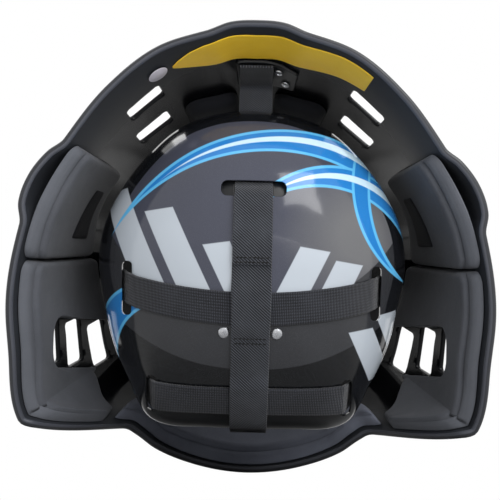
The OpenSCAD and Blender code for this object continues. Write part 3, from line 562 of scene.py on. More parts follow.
class Finish(Nodes):
    """A material on Object coordinates or on the form's own attribute."""

    def __init__(self, name, colour, rough, **sockets):
        self.material = bpy.data.materials.new(name)
        self.material.use_nodes = True
        super().__init__(self.material.node_tree)
        self.shader = self.tree.nodes["Principled BSDF"]
        self.shader.inputs["Base Color"].default_value = self.colour = paint(colour)
        self.shader.inputs["Roughness"].default_value = rough
        for socket, value in sockets.items():
            self.shader.inputs[socket.replace("_", " ")].default_value = value
        self.normal = None
        self.place = self.node("TexCoord").outputs["Object"]

    def grain(self, scale, detail=3, rough=0.6):
        return self.node("TexNoise", {"Vector": self.place, "Scale": scale,
                                      "Detail": detail, "Roughness": rough}).outputs[0]

    def spread(self, value, low, high, to_low=0.0, to_high=1.0):
        return self.node("MapRange", {"Value": value, "From Min": low, "From Max": high,
                                      "To Min": to_low, "To Max": to_high}).outputs[0]

    def tint(self, share, other):
        """Lays another colour over the present one, by a share."""
        self.colour = self.node("Mix", {0: share, 6: self.colour, 7: paint(other)},
                                data_type="RGBA").outputs[2]
        self.link(self.colour, self.shader.inputs["Base Color"])

    def patches(self, grain, low, high, most, other):
        """Lays another colour over the present one where the grain is high."""
        self.tint(self.spread(self.grain(*grain), low, high, 0, most), other)

    def rough(self, grain, low, high):
        self.link(self.spread(self.grain(*grain), 0.3, 0.7, low, high),
                  self.shader.inputs["Roughness"])

    def bump(self, height, strength, deep):
        """Raises the surface by a socket, or by a grain, this many millimetres."""
        if isinstance(height, tuple):
            height = self.grain(*height)
        inputs = {"Height": height, "Strength": strength, "Distance": deep * 0.001}
        if self.normal:
            inputs["Normal"] = self.normal
        self.normal = self.node("Bump", inputs).outputs[0]
        self.link(self.normal, self.shader.inputs["Normal"])

    def lie(self):
        """The three values that each point of the form remembers."""
        lie = self.node("Attribute", attribute_name="lie", attribute_type="GEOMETRY")
        return self.node("SeparateXYZ", {0: lie.outputs["Vector"]}).outputs[:3]


# For each kind of plain finish: its sockets, the patches of its second colour, the
# grain of its roughness and how far that goes down and up, and its bumps
KINDS = {
    "moulded": ({"Specular_IOR_Level": 0.4, "Coat_Roughness": 0.12},
                ((18, 4), 0.35, 0.75, 0.5), (60, 3), (0.06, 0.08),
                (((900, 2), 0.12, 0.3), ((28, 2), 0.25, 1.2))),
    "plated": ({"Metallic": 1.0}, ((260, 5, 0.7), 0.5, 0.8, 0.6), (400, 4), (0.08, 0.14),
               (((1200, 3), 0.15, 0.1),)),
    "coated": ({"Specular_IOR_Level": 0.55}, ((70, 5, 0.7), 0.5, 0.85, 0.5), (150, 3),
               (0.05, 0.1), (((1600, 2), 0.2, 0.12),)),
    "sticker": ({"Specular_IOR_Level": 0.4, "Coat_Weight": 0.15, "Coat_Roughness": 0.3},
                ((45, 5, 0.65), 0.4, 0.8, 0.6), (220, 3), (0.08, 0.08),
                (((700, 3), 0.12, 0.12),)),
}


def plain(kind, name, rough, colour, other, **more):
    sockets, patches, grain, (down, up), bumps = KINDS[kind]
    f = Finish(name, colour, rough, **sockets, **more)
    f.patches(*patches, other)
    f.rough(grain, rough - down, rough + up)
    for each in bumps:
        f.bump(*each)
    return f.material


# In hundredths of the wall's depth: where the painted shade on foam starts and is darkest,
# how much later that is at the chin, and where the painted highlight of its paler rear band
# ends
FOAM_SHADE_FROM, FOAM_SHADE_TO, FOAM_SHADE_LAG, FOAM_HIGHLIGHT_FROM, FOAM_HIGHLIGHT_TO = 13, 42, 60, 6.5, 8.5
# The same for the shell: how wide its matt rear part without painted shade is at the crown and
# sides, the angles off the crown between which that widens, and how far polish and painted
# shade reach
MATT_UNSHADED_CROWN, MATT_UNSHADED_SIDE, MATT_UNSHADED_FROM, MATT_UNSHADED_TO, POLISH_AND_SHADE_REACH = 3, 14, 18, 60, 24


def foam_cloth(name, colour, light, painted_shade=0.0, sheen=0.08):
    """Foam faced with a fine brushed cloth. Deep in the shell a painted shade darkens it, less
    so below the ears, and a painted highlight makes its rear edge paler."""
    f = Finish(name, colour, 0.86, Sheen_Weight=sheen, Sheen_Roughness=0.5,
               Specular_IOR_Level=0.15)
    f.patches((35, 5, 0.7), 0.3, 0.75, 0.55, light)
    fine = f.grain(2600, 4, 0.75)
    f.tint(f.spread(fine, 0.45, 0.8, 0, 0.5), light)
    if painted_shade:
        angle, depth, _ = f.lie()
        rise = f.maths("SINE", f.maths("MULTIPLY", angle, math.pi / 180))
        late = f.maths("MULTIPLY", f.maths("MINIMUM", rise, 0), FOAM_SHADE_LAG)
        deep = f.maths("ADD", depth, late)
        # Painted shade deep in the shell, then a painted highlight on the rear edge
        f.tint(f.spread(deep, FOAM_SHADE_FROM, FOAM_SHADE_TO, 0, painted_shade), "141518")
        f.tint(f.spread(depth, FOAM_HIGHLIGHT_FROM, FOAM_HIGHLIGHT_TO, 0.35, 0), "686b72")
    f.bump(fine, 0.45, 0.35)
    f.bump((90, 3), 0.35, 0.9)
    return f.material


def woven(name, colour, light, rough, pitch, lean, cord, proud, high, most, patches, deep,
          fuzz):
    """Ribs across a strap, which may lean, and finer cords that run along it."""
    f = Finish(name, colour, rough, Sheen_Weight=0.15, Specular_IOR_Level=0.2)
    along, across, _ = f.lie()
    if lean:
        along = f.maths("MULTIPLY_ADD", across, lean, along)
    rib = f.maths("SINE", f.maths("MULTIPLY", along, 2 * math.pi / pitch))
    line = f.maths("SINE", f.maths("MULTIPLY", across, 2 * math.pi / cord))
    weave = f.maths("MULTIPLY_ADD", line, proud, rib)
    f.tint(f.spread(weave, 0, high, 0, most), light)
    f.patches(*patches, light)
    f.bump(weave, 0.6, deep)
    f.bump((fuzz, 3), 0.3, 0.15)
    return f.material


def twill(name, colour, light, pitch):
    return woven(name, colour, light, 0.78, pitch, lean=0.9, cord=0.55, proud=0.35, high=1.1,
                 most=1, patches=((40, 4), 0.45, 0.8, 0.35), deep=0.22, fuzz=1500)


def ribbed(name, colour, light, pitch):
    return woven(name, colour, light, 0.82, pitch, lean=0, cord=1.5, proud=0.5, high=1.3,
                 most=0.95, patches=((30, 4), 0.45, 0.8, 0.4), deep=0.25, fuzz=1700)


def shell_inside():
    """Matt near the rear rim, polished deeper in and darkened there to near black as painted
    shade. Both start closer to the rim at the crown than at the sides."""
    f = Finish("shell_inside", "2c2e32", 0.5, Specular_IOR_Level=0.12)
    angle, depth, _ = f.lie()
    aside = f.maths("ABSOLUTE", f.maths("SUBTRACT", angle, 90))
    near = f.spread(aside, MATT_UNSHADED_FROM, MATT_UNSHADED_TO, MATT_UNSHADED_CROWN, MATT_UNSHADED_SIDE)
    deep = f.spread(f.maths("SUBTRACT", depth, near), 0, POLISH_AND_SHADE_REACH)
    f.patches((14, 4), 0.35, 0.75, 0.5, "26282d")
    # Painted shade: near black deeper in the shell, where shade falls
    f.tint(deep, "0b0c0e")
    f.link(f.spread(deep, 0, 1, 0.5, 0.2), f.shader.inputs["Roughness"])
    f.bump((900, 2), 0.1, 0.3)
    f.bump((28, 2), 0.25, 1.0)
    return f.material


# Silver bars on the plate: how they lean, where and how wide they are across, and the
# heights between which they lie
BARS = ((0.5, -63, 17, -14, 44), (0.5, -40, 17, -26, 28), (0.5, -17, 15, -22, 6),
        (-0.5, 32, 17, -26, 6), (-0.5, 54, 16, -26, 2), (0.5, 38, 15, -80, -50),
        (0.5, 58, 15, -76, -44))
# Crescents: middle and radius of a disc, and how far across, up and larger a second
# disc is, which is taken out of it
BLUE_MOONS = ((20, -42, 108, -9, -13, 1), (46, -14, 60, -9, -12, 1),
              (-56, -50, 30, 12, -8, 0), (108, 34, 54, 10, -6, 1))
PALE_MOONS = ((20, -45.5, 108, -4, -5, 1.6), (46, -17.5, 60, -4, -4.4, 1.2))
# Dark grey and black lie farther than this from the middles of two large discs, and the
# border starts at this share of the plate's radius
GREY_FAR, BLACK_FAR, BORDER = (98, (0, 66)), (122, (0, 60)), 72


def plate_lacquer():
    """Graphite lacquer with a black border, plain slanted silver bars and blue
    crescents with light edges."""
    f = Finish("plate_lacquer", "3c3e49", 0.2, Specular_IOR_Level=0.25,
               Coat_Weight=0.2, Coat_Roughness=0.06)
    x, z, share = f.lie()

    def less(a, b):
        return f.maths("SUBTRACT", a, b)

    def along(cx, cz):
        return f.maths("MULTIPLY_ADD", x, cx, f.maths("MULTIPLY", z, cz))

    def lay(gap, colour, margin=0.0):
        """A colour where the gap is below the margin, with a thin soft edge."""
        f.tint(f.spread(gap, margin - 0.25, margin + 0.25, 1, 0), colour)

    def disc(cx, cz, r=0):
        dx, dz = less(x, cx), less(z, cz)
        square = f.maths("MULTIPLY_ADD", dx, dx, f.maths("MULTIPLY", dz, dz))
        return less(f.maths("SQRT", square), r)

    def crescent(cx, cz, r, dx, dz, dr):
        inner = f.maths("MULTIPLY", disc(cx + dx, cz + dz, r + dr), -1)
        return f.maths("MAXIMUM", disc(cx, cz, r), inner)

    def bar(lean, at, wide, low, high):
        u = f.maths("ABSOLUTE", less(along(1, lean), at))
        end = f.maths("ABSOLUTE", less(along(-0.3 * lean, 1), (low + high) / 2))
        return f.maths("MAXIMUM", less(u, wide / 2), less(end, (high - low) / 2))

    # Painted reflection: a soft lighter grey patch right of the middle of the plate
    f.tint(f.spread(disc(58, 8), 12, 44, 0.7, 0), "686868")
    for (far, middle), colour in ((GREY_FAR, "2c2d30"), (BLACK_FAR, "0c0d0f")):
        lay(less(far, disc(*middle)), colour)
    lay(less(BORDER, share), "0d0e11")
    for slanted in BARS:
        lay(bar(*slanted), "a6adb5")
    for moon in BLUE_MOONS:
        shape = crescent(*moon)
        lay(shape, "56a6d4", 1.0)
        lay(shape, "2470b2", -0.6)
    for moon in PALE_MOONS:
        lay(crescent(*moon), "b6d0e0")
    flake = f.node("TexVoronoi", {"Vector": f.place, "Scale": 2600}).outputs["Distance"]
    f.tint(f.spread(flake, 0.05, 0.3, 0.16, 0), "969ca8")
    f.rough((90, 3), 0.1, 0.18)
    f.bump((30, 2), 0.1, 0.5)
    f.bump((500, 2), 0.05, 0.1)
    return f.material


SHELL_OUT = plain("moulded", "shell_outside", 0.32, "16181d", "1f2128",
                  Coat_Weight=0.2)
SHELL_IN = shell_inside()
RIM_TRIM = plain("moulded", "rim_bead", 0.36, "26272b", "303236")
# Painted highlight: a lighter line along the inner edge of the rim bead
RIM_HIGHLIGHT = plain("moulded", "rim_highlight", 0.34, "42444b", "34363c")
# The last value is the strength of the side foam's painted shade
SIDE_FOAM = foam_cloth("side_foam", "424449", "585a60", 0.8)
INNER_FOAM = foam_cloth("inner_foam", "101114", "1c1d21")
# Painted light: the chin pad's foam is the inner foam made much lighter, for the shadowed chin
LIT_CHIN_FOAM = foam_cloth("lit_chin_foam", "666a76", "7a7e8a")
HOOK_TAPE = foam_cloth("hook_tape", "0c0c0e", "161619", sheen=0.0)
CAGE_COAT = plain("coated", "cage_wire", 0.35, "222225", "3a3a3e")
CLIP_COAT = plain("coated", "clip_steel", 0.4, "28282b", "545458")
WASHER_COAT = plain("coated", "washer_steel", 0.4, "2c2d30", "5a5a5e")
BRIGHT = plain("plated", "bright_steel", 0.28, "cdcfd3", "8c8d92")
YELLOW = plain("sticker", "yellow_strip", 0.5, "f4c834", "e6b828")
PALE = plain("sticker", "pale_disc", 0.5, "ccc8d2", "b8b4c0")
BRACKET_COAT = plain("moulded", "bracket", 0.36, "0d0e10", "141518")
WEBBING = twill("webbing", "141518", "4c4f56", 1.5)
ELASTIC = ribbed("elastic", "141518", "3e4047", 0.9)
THREAD = twill("thread", "080809", "18181b", 0.5)
LACQUER = plate_lacquer()
PLATE_IN = plain("moulded", "plate_inside", 0.5, "24262b", "32343a")


# Camera, floor and light. The camera stands behind the rim, level with the eyes. Its
# focal length and sideways shift are in points of a picture this many points wide.

EYE_BACK, ROLL, FOCAL, SIDEWAYS, PICTURE, SENSOR = 468, 1.4, 882, -2.3, 500, 36
FLOOR_HALF, FADE_START, FADE_END = 3, 0.5, 1.8
WHITE, WORLD_LEVEL = (1, 1, 1, 1), 0.3
# Place and aim in metres, width and height, and power in watts
LAMPS = {"key": ((0.22, -1.08, 0.09), (0, 0, 0.16), 0.7, 0.16, 8),
         "side": ((0.6, -1.0, 0.75), (0, -0.05, 0.1), 0.6, 0.6, 9),
         "top": ((-0.3, 0.1, 1.4), (0, 0, 0.1), 1.0, 1.0, 9)}


def make_camera():
    eye, middle = stood((0, -EYE_BACK, 0)), stood((0, 0, 0))
    ahead = (middle - eye).normalized()
    up = (stood((0, 0, 100)) - middle).normalized()
    right = ahead.cross(up).normalized()
    c, s = cosd(ROLL), sind(ROLL)
    data = bpy.data.cameras.new("camera")
    data.sensor_width, data.lens = SENSOR, FOCAL / PICTURE * SENSOR
    data.shift_x, data.clip_start = SIDEWAYS / PICTURE, 0.01
    camera = put("camera", data)
    camera.matrix_world = frame_at(eye, right * c + up * s, up * c - right * s, -ahead)
    bpy.context.scene.camera = camera


def make_floor():
    """A pale floor that fades out with distance. It is seen through from below, because
    the camera is level with the wearer's eyes and looks a little upwards."""
    bm = bmesh.new()
    ops.create_grid(bm, x_segments=1, y_segments=1, size=FLOOR_HALF)
    mesh = as_mesh("floor", bm)
    f = Finish("floor", "ececec", 0.9)
    f.patches((2, 3), 0.4, 0.7, 0.4, "e4e4e5")
    clear = f.node("BsdfTransparent").outputs[0]
    away = f.node("VectorMath", {0: f.place}, operation="LENGTH").outputs["Value"]
    gone = f.maths("MAXIMUM", f.node("NewGeometry").outputs["Backfacing"],
                   f.spread(away, FADE_START, FADE_END))
    seen = f.node("MixShader", {0: gone, 1: f.shader.outputs[0], 2: clear})
    f.link(seen.outputs[0], f.tree.nodes["Material Output"].inputs[0])
    mesh.materials.append(f.material)
    put("floor", mesh)


def make_light():
    """The world lights the object at a plain level, and looks white to the camera and in
    metal and glass."""
    world = bpy.data.worlds.new("studio")
    bpy.context.scene.world = world
    world.use_nodes = True
    w = Nodes(world.node_tree)
    level = w.tree.nodes["Background"]
    level.inputs[0].default_value, level.inputs[1].default_value = WHITE, WORLD_LEVEL
    rays = w.node("LightPath").outputs
    seen = rays["Is Camera Ray"]
    for ray in ("Is Glossy Ray", "Is Transmission Ray"):
        seen = w.maths("MAXIMUM", seen, rays[ray])
    white = w.node("Background", {0: WHITE, 1: 1.0})
    mix = w.node("MixShader", {0: seen, 1: level.outputs[0], 2: white.outputs[0]})
    w.link(mix.outputs[0], w.tree.nodes["World Output"].inputs[0])
    for name, (place, aim, wide, tall, power) in LAMPS.items():
        data = bpy.data.lights.new(name, "AREA")
        data.shape, data.size, data.size_y, data.energy = "RECTANGLE", wide, tall, power
        lamp = put(name, data)
        lamp.location = place
        lamp.visible_glossy = name != "key"
        lamp.rotation_euler = (Vector(aim) - Vector(place)).to_track_quat("-Z", "Y").to_euler()


bpy.context.scene.view_settings.view_transform = "Standard"
make_camera()
make_floor()
make_light()


# Shell. A place on it is an angle and a share of its depth.

CROWN_SLOTS = [(t, v) for a, v in ((52.5, 0.268), (50, 0.475)) for t in both(a)]
CHEEK_SLOTS = [(t, v) for a, v in ((-31.5, 0.625), (-28, 0.475), (-25.5, 0.32))
               for t in both(a)]
BEAD_END, RIM_FACE_END, OUTER_ROWS, INNER_ROWS, SHELL_TURNS = 0.034, 0.0165, 56, 50, 480


def make_shell():
    across, middle = WALL + RIM_BEAD, (RIM_BEAD - WALL) / 2
    turn = [k * math.pi / 10 for k in range(11)]
    front = 1 - WALL / 2 / TUBE_L
    section = [(middle + across / 2 * math.cos(t), across / 2 * (1 - math.sin(t)) / TUBE_L)
               for t in reversed(turn)]
    section += [(RIM_BEAD, 0.02), (RIM_BEAD * 0.7, 0.026), (0, BEAD_END)]
    section += [(0, lerp(BEAD_END, front, k / OUTER_ROWS)) for k in range(1, OUTER_ROWS + 1)]
    section += [(-WALL / 2 * (1 - math.cos(t)), 1 - WALL / 2 * (1 - math.sin(t)) / TUBE_L)
                for t in turn[1:]]
    section += [(-WALL, lerp(front, 0.02, k / INNER_ROWS)) for k in range(1, INNER_ROWS + 1)]
    bm = new_form()
    loop = ops.create_circle(bm, cap_ends=False, segments=len(section), radius=1)["verts"]
    for vert, (d, v) in zip(loop, section):
        vert.co = in_tube(0, v, d)
    spun(bm, (0, 1, 0), SHELL_TURNS, 1e-3)
    tool = new_form()
    for places, size in ((CROWN_SLOTS, CROWN_SLOT), (CHEEK_SLOTS, CHEEK_SLOT)):
        for place in places:
            wall_slot(tool, place, size)
    bm = cut(bm, tool)
    for face in bm.faces:
        c = face.calc_center_median()
        d = math.hypot(c.x, c.z) - TUBE_R
        # On the rim's rear face, the inner part takes the painted highlight and the rest the
        # bead's colour
        if c.y < RIM_FACE_END * TUBE_L:
            face.material_index = 3 if d < -WALL * 0.62 else 2
        else:
            face.material_index = 1 if d < -WALL / 2 else 0
    piece("helmet_shell", draw_to_wall(bm), [SHELL_OUT, SHELL_IN, RIM_TRIM, RIM_HIGHLIGHT],
          ["mask_shell"], slot="shell")


make_shell()


# Foam lining

def eased(t, power=1.7):
    """Closer steps at both ends of a row."""
    return 0.5 * (2 * t) ** power if t < 0.5 else 1 - 0.5 * (2 - 2 * t) ** power


# Shares of a pad's thickness at distances from its edge
REAR_EDGE = [(0, 0.10), (0.8, 0.26), (2, 0.40), (4, 0.56), (6, 0.66), (6.8, 0.66),
             (7.6, 0.56), (8.3, 0.66), (9, 0.84), (10.2, 0.95), (12.5, 1), (400, 1)]
SOFT_EDGE = [(0, 0.36), (0.6, 0.56), (1.5, 0.74), (3, 0.89), (5, 0.97), (8, 1), (400, 1)]
SEAM_EDGE = [(0, 0.5), (0.4, 0.76), (1, 0.9), (2, 0.97), (3.5, 1), (400, 1)]
THIN_EDGE = [(0, 0.4), (0.15, 0.7), (0.4, 0.93), (0.8, 1), (400, 1)]


def edge_height(table, far):
    k = row_at(table, far)
    (x0, y0), (x1, y1) = table[k], table[k + 1]
    s = (far - x0) / (x1 - x0)
    return lerp(y0, y1, s if k == len(table) - 2 else s * s * (3 - 2 * s) * 0.5 + s * 0.5)


def between(table, a, k):
    """Column k of a table at the place a, on straight lines."""
    row, after = table[row_at(table, a):][:2]
    return lerp(row[k], after[k], (a - row[0]) / (after[0] - row[0]))


def slab(stations, thick, place_at, lengths, segments, edges, corner, swell=0.06, ripple=0.0):
    """A slab with rounded corners: a grid is extruded to a block, and each point
    goes to place_at(station, share along, height). Edges are the height tables at
    the rear, the front and both ends."""
    bm = new_form()
    ops.create_grid(bm, x_segments=segments[0], y_segments=segments[1], size=1)
    upper = set(only("BMVert", ops.extrude_face_region(bm, geom=bm.faces[:])["geom"]))
    lt, ls = lengths
    lie = lie_layer(bm)
    for vert in bm.verts:
        t, s = eased((vert.co.x + 1) / 2), eased((vert.co.y + 1) / 2, 1.4)
        end = min(t, 1 - t) * lt
        shrink = corner - math.sqrt(max(0, corner ** 2 - max(0, corner - end) ** 2))
        s = lerp(shrink / ls, 1 - shrink / ls, s)
        h = 0
        if vert in upper:
            h = thick
            for table, far in zip(edges, (s * ls - shrink, (1 - s) * ls - shrink, end)):
                h *= edge_height(table, max(far, 0))
            h *= 1 - swell + swell * math.sin(math.pi * t) * math.sin(math.pi * s)
            if ripple:
                h += ripple * noise.noise(Vector((t * lt, s * ls, thick)) * 0.06)
        a = lerp(stations[0][0], stations[-1][0], t)
        vert[lie] = (t * lt, s * ls, h)
        vert.co = place_at(a, lerp(between(stations, a, 1), between(stations, a, 2), s), h)
    ops.recalc_face_normals(bm, faces=bm.faces[:])
    return bm


def lining(table, thick, base, edges=(REAR_EDGE, SOFT_EDGE, SEAM_EDGE), corner=7,
           segments=(70, 100), lined=True, **extra):
    """A slab on the inner face of the wall, still as part of the tube. The table gives
    angles, and the shares of depth from which and to which the slab goes there."""
    first, last = table[0][0], table[-1][0]
    mid_a = (first + last) / 2
    v0, v1 = (between(table, mid_a, k) for k in (1, 2))

    def length(*ends):
        p, q = (on_shell(*end, base, lined) for end in ends)
        return (p - q).length
    mid_v = (v0 + v1) / 2
    return slab(table, thick, lambda a, v, h: in_tube(a, v, base - h),
                (length((last, mid_v), (first, mid_v)), length((mid_a, v1), (mid_a, v0))),
                segments, edges, corner, **extra)


FOREHEAD_PAD = [(63, 0.42, 0.8), (83, 0.42, 0.8)]
TEMPLE_PAD = [(-2.9, 0.04, 0.62), (12, 0.03, 0.6), (29.5, 0.04, 0.58)]
JAW_PAD = [(-50.3, 0.05, 0.14), (-47, 0.05, 0.25), (-43, 0.04, 0.39), (-39, 0.04, 0.5),
           (-34, 0.04, 0.55), (-24, 0.05, 0.68), (-3.6, 0.05, 0.66)]
HOOK_STRIP = [(3.5, 0.335, 0.485), (20.5, 0.385, 0.48)]
CHIN_PAD = [(-128, 0.08, 0.34), (-105, 0.05, 0.5), (-75, 0.05, 0.5), (-52, 0.08, 0.34)]
PAD_BASE = -WALL - GAP - RELIEF
PAD_FACE = PAD_BASE - SIDE_PAD_T
PAD_RIPPLE, PAD_FILL = 0.25, 0.8


def other_side(table):
    return [(180 - a, low, high) for a, low, high in reversed(table)]


def window_tool(left):
    """Through the jaw pad over the cheek slots, from WINDOW_Y past its front edge."""
    front, _, _, _, rear, _ = (on_shell(*place, -WALL) for place in CHEEK_SLOTS)
    slope = (front.z - rear.z) / (front.y - rear.y)
    z0, lean = rear.z - slope * (rear.y - WINDOW_Y), math.atan(slope)
    c, s = math.cos(lean), math.sin(lean)
    rings = []
    for d, wide in ((PAD_BASE + 3, 0), (PAD_BASE - 2, 0), (PAD_FACE + 1.2, 0),
                    (PAD_FACE + 0.3, 0.3), (PAD_FACE - 0.4, 1.0), (PAD_FACE - 3, 3)):
        def seen(a, v):
            p = on_shell(a, v, d, True)
            return p[1], p[2]
        ring, place = [], (-27, 0.6)
        for p, q in rounded(WINDOW_L + 2 * wide, WINDOW_H + 2 * wide, WINDOW_CORNER + wide):
            p += WINDOW_L / 2
            wanted = (WINDOW_Y + p * c - q * s, z0 + p * s + q * c)
            place = settle(seen, wanted, place, WALL_STEPS)
            ring.append(in_tube(180 - place[0] if left else place[0], place[1], d))
        rings.append(ring)
    bm = new_form()
    rod(bm, rings)
    return bm


def pad(name, bm, finish, **more):
    piece(name + "_cloth", bm, finish, [name], fill=PAD_FILL, **more)


def make_lining():
    for side, turn in (("right", list), ("left", other_side)):
        for label, table, thick, finish, extra in (
                ("temple", TEMPLE_PAD, SIDE_PAD_T, SIDE_FOAM, {}),
                ("jaw", JAW_PAD, SIDE_PAD_T, SIDE_FOAM, {}),
                ("forehead", FOREHEAD_PAD, BROW_PAD_T, INNER_FOAM,
                 {"edges": (SOFT_EDGE,) * 3, "segments": (40, 50), "corner": 9})):
            bm = lining(turn(table), thick, PAD_BASE, ripple=PAD_RIPPLE, **extra)
            if label == "jaw":
                bm = cut(bm, window_tool(side == "left"), "MANIFOLD")
            pad(f"{label}_pad_{side}", draw_to_wall(bm, True), finish)
        bm = lining(turn(HOOK_STRIP), 1.4, PAD_FACE + 0.6, (SEAM_EDGE,) * 3, 1, (44, 24),
                    swell=0)
        piece(f"hook_tape_{side}", draw_to_wall(bm, True), HOOK_TAPE, slot="inner_foam")
    bm = lining(CHIN_PAD, CHIN_PAD_T, PAD_BASE, corner=8, segments=(120, 60),
                ripple=PAD_RIPPLE)
    pad("chin_pad", draw_to_wall(bm, True), LIT_CHIN_FOAM, slot="inner_foam")
    base = -PLATE_T - GAP - RELIEF
    for name, half, low, high in (("occipital_pad", 50, RIVET_Z + 9, CROWN_SLOT_Z - 12),
                                  ("nape_pad", 36, PLATE_Z - PLATE_FALL + 12, RIVET_Z - 7)):
        bm = slab([(-half, low, high), (half, low, high)], PLATE_PAD_T,
                  lambda x, z, h: stood(on_plate(x, z, base - h)), (2 * half, high - low),
                  (60, 40), (SOFT_EDGE,) * 3, 9, swell=0.25, ripple=PAD_RIPPLE)
        pad(name, bm, INNER_FOAM, body="back_plate")


make_lining()


# Strip, disc and bracket under the crown rim

RIM_LABEL = [(56, 0.045, 0.17), (60, 0.045, 0.18), (66, 0.045, 0.19), (72, 0.05, 0.2),
             (78, 0.055, 0.21), (84, 0.06, 0.215), (90, 0.065, 0.22), (96, 0.06, 0.215),
             (101, 0.055, 0.21), (105, 0.06, 0.2), (109, 0.08, 0.185), (113, 0.115, 0.165),
             (115, 0.138, 0.148)]
DISC_PLACE, DISC_HALF = (119.8, 0.133), 6
BRACKET = [(76.5, 0.25, 0.37), (82, 0.235, 0.38), (88, 0.225, 0.39), (96.5, 0.225, 0.39)]
CROWN_SCREWS = [(82.5, 0.275), (79.5, 0.335)]


def make_crown_trim():
    thin = {"edges": (THIN_EDGE,) * 3, "lined": False, "swell": 0}
    bm = lining(RIM_LABEL, LABEL_T, -WALL - RELIEF / 2, corner=0.5, segments=(160, 24), **thin)
    piece("crown_strip", draw_to_wall(bm), YELLOW, ["rim_label"])
    r = DISC_HALF
    bm = turned([(0, 0), (r - 0.2, 0), (r, 0.12), (r, 0.28), (r - 0.2, LABEL_T),
                 (0, LABEL_T)], 64)
    stand(bm, wall_frame(*DISC_PLACE) @ raised(-WALL - 2 * RELIEF - LABEL_T))
    piece("pale_disc", bm, PALE, ["size_disc"])
    bm = lining(BRACKET, BRACKET_T, -WALL - GAP - RELIEF / 2, corner=2.5, segments=(48, 40),
                **thin)
    piece("crown_clamp", draw_to_wall(bm), BRACKET_COAT, ["crown_bracket"])


make_crown_trim()


# Screws, nuts, washers, clips and rivets

THREAD_PITCH, THREAD_DEEP = 0.4, 0.35
WASHER_T, NUT_T, SHANK_HALF = 1, 4, SCREW_D / 2


def cross_recess(bm, top, wide, deep):
    """Cuts a cross for a screwdriver into a head."""
    for turn in (0, math.pi / 2):
        tool = new_form()
        made = ops.create_cube(tool, size=1)["verts"]
        ops.scale(tool, vec=(wide, wide * 0.26, 2 * deep), verts=made)
        for vert in made:
            if vert.co.z < 0:
                vert.co.x *= 0.55
        ops.rotate(tool, cent=(0, 0, 0), matrix=Matrix.Rotation(turn, 3, "Z"), verts=made)
        ops.translate(tool, vec=(0, 0, top), verts=made)
        bm = cut(bm, tool)
    return bm


def screw(seat, d, length, head, rise):
    """Shank and domed head, on a seat at this height."""
    dome = [(d / 4 + (head / 2 - d / 4) * cosd(q), seat + rise * (0.3 + 0.7 * sind(q)))
            for q in range(0, 91, 9)]
    thread = [(d / 2 - (THREAD_DEEP if k % 2 else 0), seat - length + THREAD_PITCH * k)
              for k in range(1, int(length / THREAD_PITCH))]
    bm = turned([(0, seat - length), (d / 2 - 0.5, seat - length)] + thread
                + [(d / 2, seat), (head / 2 - 0.25, seat), (head / 2, seat + 0.25)]
                + dome + [(0, seat + rise)])
    return cross_recess(bm, seat + rise, head * 0.55, rise * 0.5)


def clip_share(a):
    """How deep a clip's screw sits: at least CLIP_REACH behind the wire."""
    v, wire = WIRE_SHARE, on_shell(a, WIRE_SHARE, 0)
    for _ in range(12):
        if (on_shell(a, v, 0) - wire).length > CLIP_REACH:
            break
        v -= 0.012
    return v


def wire_seat(a):
    return on_shell(a, WIRE_SHARE, WIRE_D / 2 + GAP)


CLIPS = [*both(BROW_CLIP), *both(CHEEK_CLIP)]
ANCHORS = [(a, v) for b, v in (UPPER_ANCHOR, LOWER_ANCHOR) for a in both(b)]


def clip(a):
    """A flat tongue that turns over the wire."""
    f = wall_frame(a, clip_share(a))
    z = f.col[2].to_3d()
    t = wire_seat(a - 3) - wire_seat(a + 3)
    x = (t - t.dot(z) * z).normalized()
    f = frame_at(f.translation, x, z.cross(x), z)
    w = f.inverted() @ wire_seat(a)
    r, top = WIRE_D / 2 + GAP + 1.25 * RELIEF, GAP + CLIP_T
    arc = range(160, -21, -6)
    profile = [(-HEAD_D * 0.7, GAP), (-HEAD_D * 0.7, top), (w[1] - r - CLIP_T - 1, top)]
    for radius, angles in ((r + CLIP_T, arc), (r, reversed(arc))):
        profile += [(w[1] + radius * cosd(q), w[2] + radius * sind(q)) for q in angles]
    profile += [(w[1] - r - 1, GAP)]
    bm = new_form()
    rod(bm, [[Vector((side * CLIP_W / 2, y, z)) for y, z in profile] for side in (-1, 1)])
    rims = [e for e in bm.edges if abs(e.verts[0].co.x - e.verts[1].co.x) < 1e-6]
    ops.bevel(bm, geom=rims, offset=0.3, segments=2, profile=0.5, affect="EDGES",
              material=-1, clamp_overlap=True)
    return stand(bm, f)


def nut():
    """A hexagon nut with a round flange at its far end."""
    r, s = NUT_D / 2, SHANK_HALF
    bm = turned([(s, 0), (NUT_D * 0.34, 0), (NUT_D * 0.4, 0.5), (NUT_D * 0.4, 2.6),
                 (NUT_D * 0.42, 2.9), (r - 0.2, 3.0), (r, 3.3), (r, 3.8), (r - 0.2, NUT_T),
                 (s, NUT_T), (s, 0)], 48)
    for vert in bm.verts:
        a, far = polar(vert.co.x, vert.co.y)
        if vert.co.z < 2.95 and far > s + 0.2:
            flat = min(1, cosd(30) / cosd((a + 150) % 60 - 30) * 1.04)
            vert.co.x *= flat
            vert.co.y *= flat
    return bm


def washer():
    r, s = ELASTIC_W / 2 - 1.5, SHANK_HALF
    return turned([(s, 0), (r - 0.2, 0), (r, 0.2), (r, 0.8), (r - 0.2, WASHER_T),
                   (s + 0.2, WASHER_T), (s, 0)], 56)


def rivet():
    r, low = RIVET_HEAD_D / 2, -PLATE_T - 2 * RELIEF
    return turned([(0, low - 0.8), (r * 0.7, low - 0.8), (r * 0.8, low - 0.5), (r * 0.8, low),
                   (1.48, low), (1.48, 0.1), (r - 0.1, 0.1), (r, 0.25), (r * 0.9, 0.7),
                   (r * 0.65, 1.05), (r * 0.35, 1.25), (0.6, 1.3), (0.45, 1.1), (0, 1.05)], 48)


def fixings(name, make, spots, finish=BRIGHT, **more):
    piece(name + "_set", placed(make, spots), finish, [name + "s"], **more)


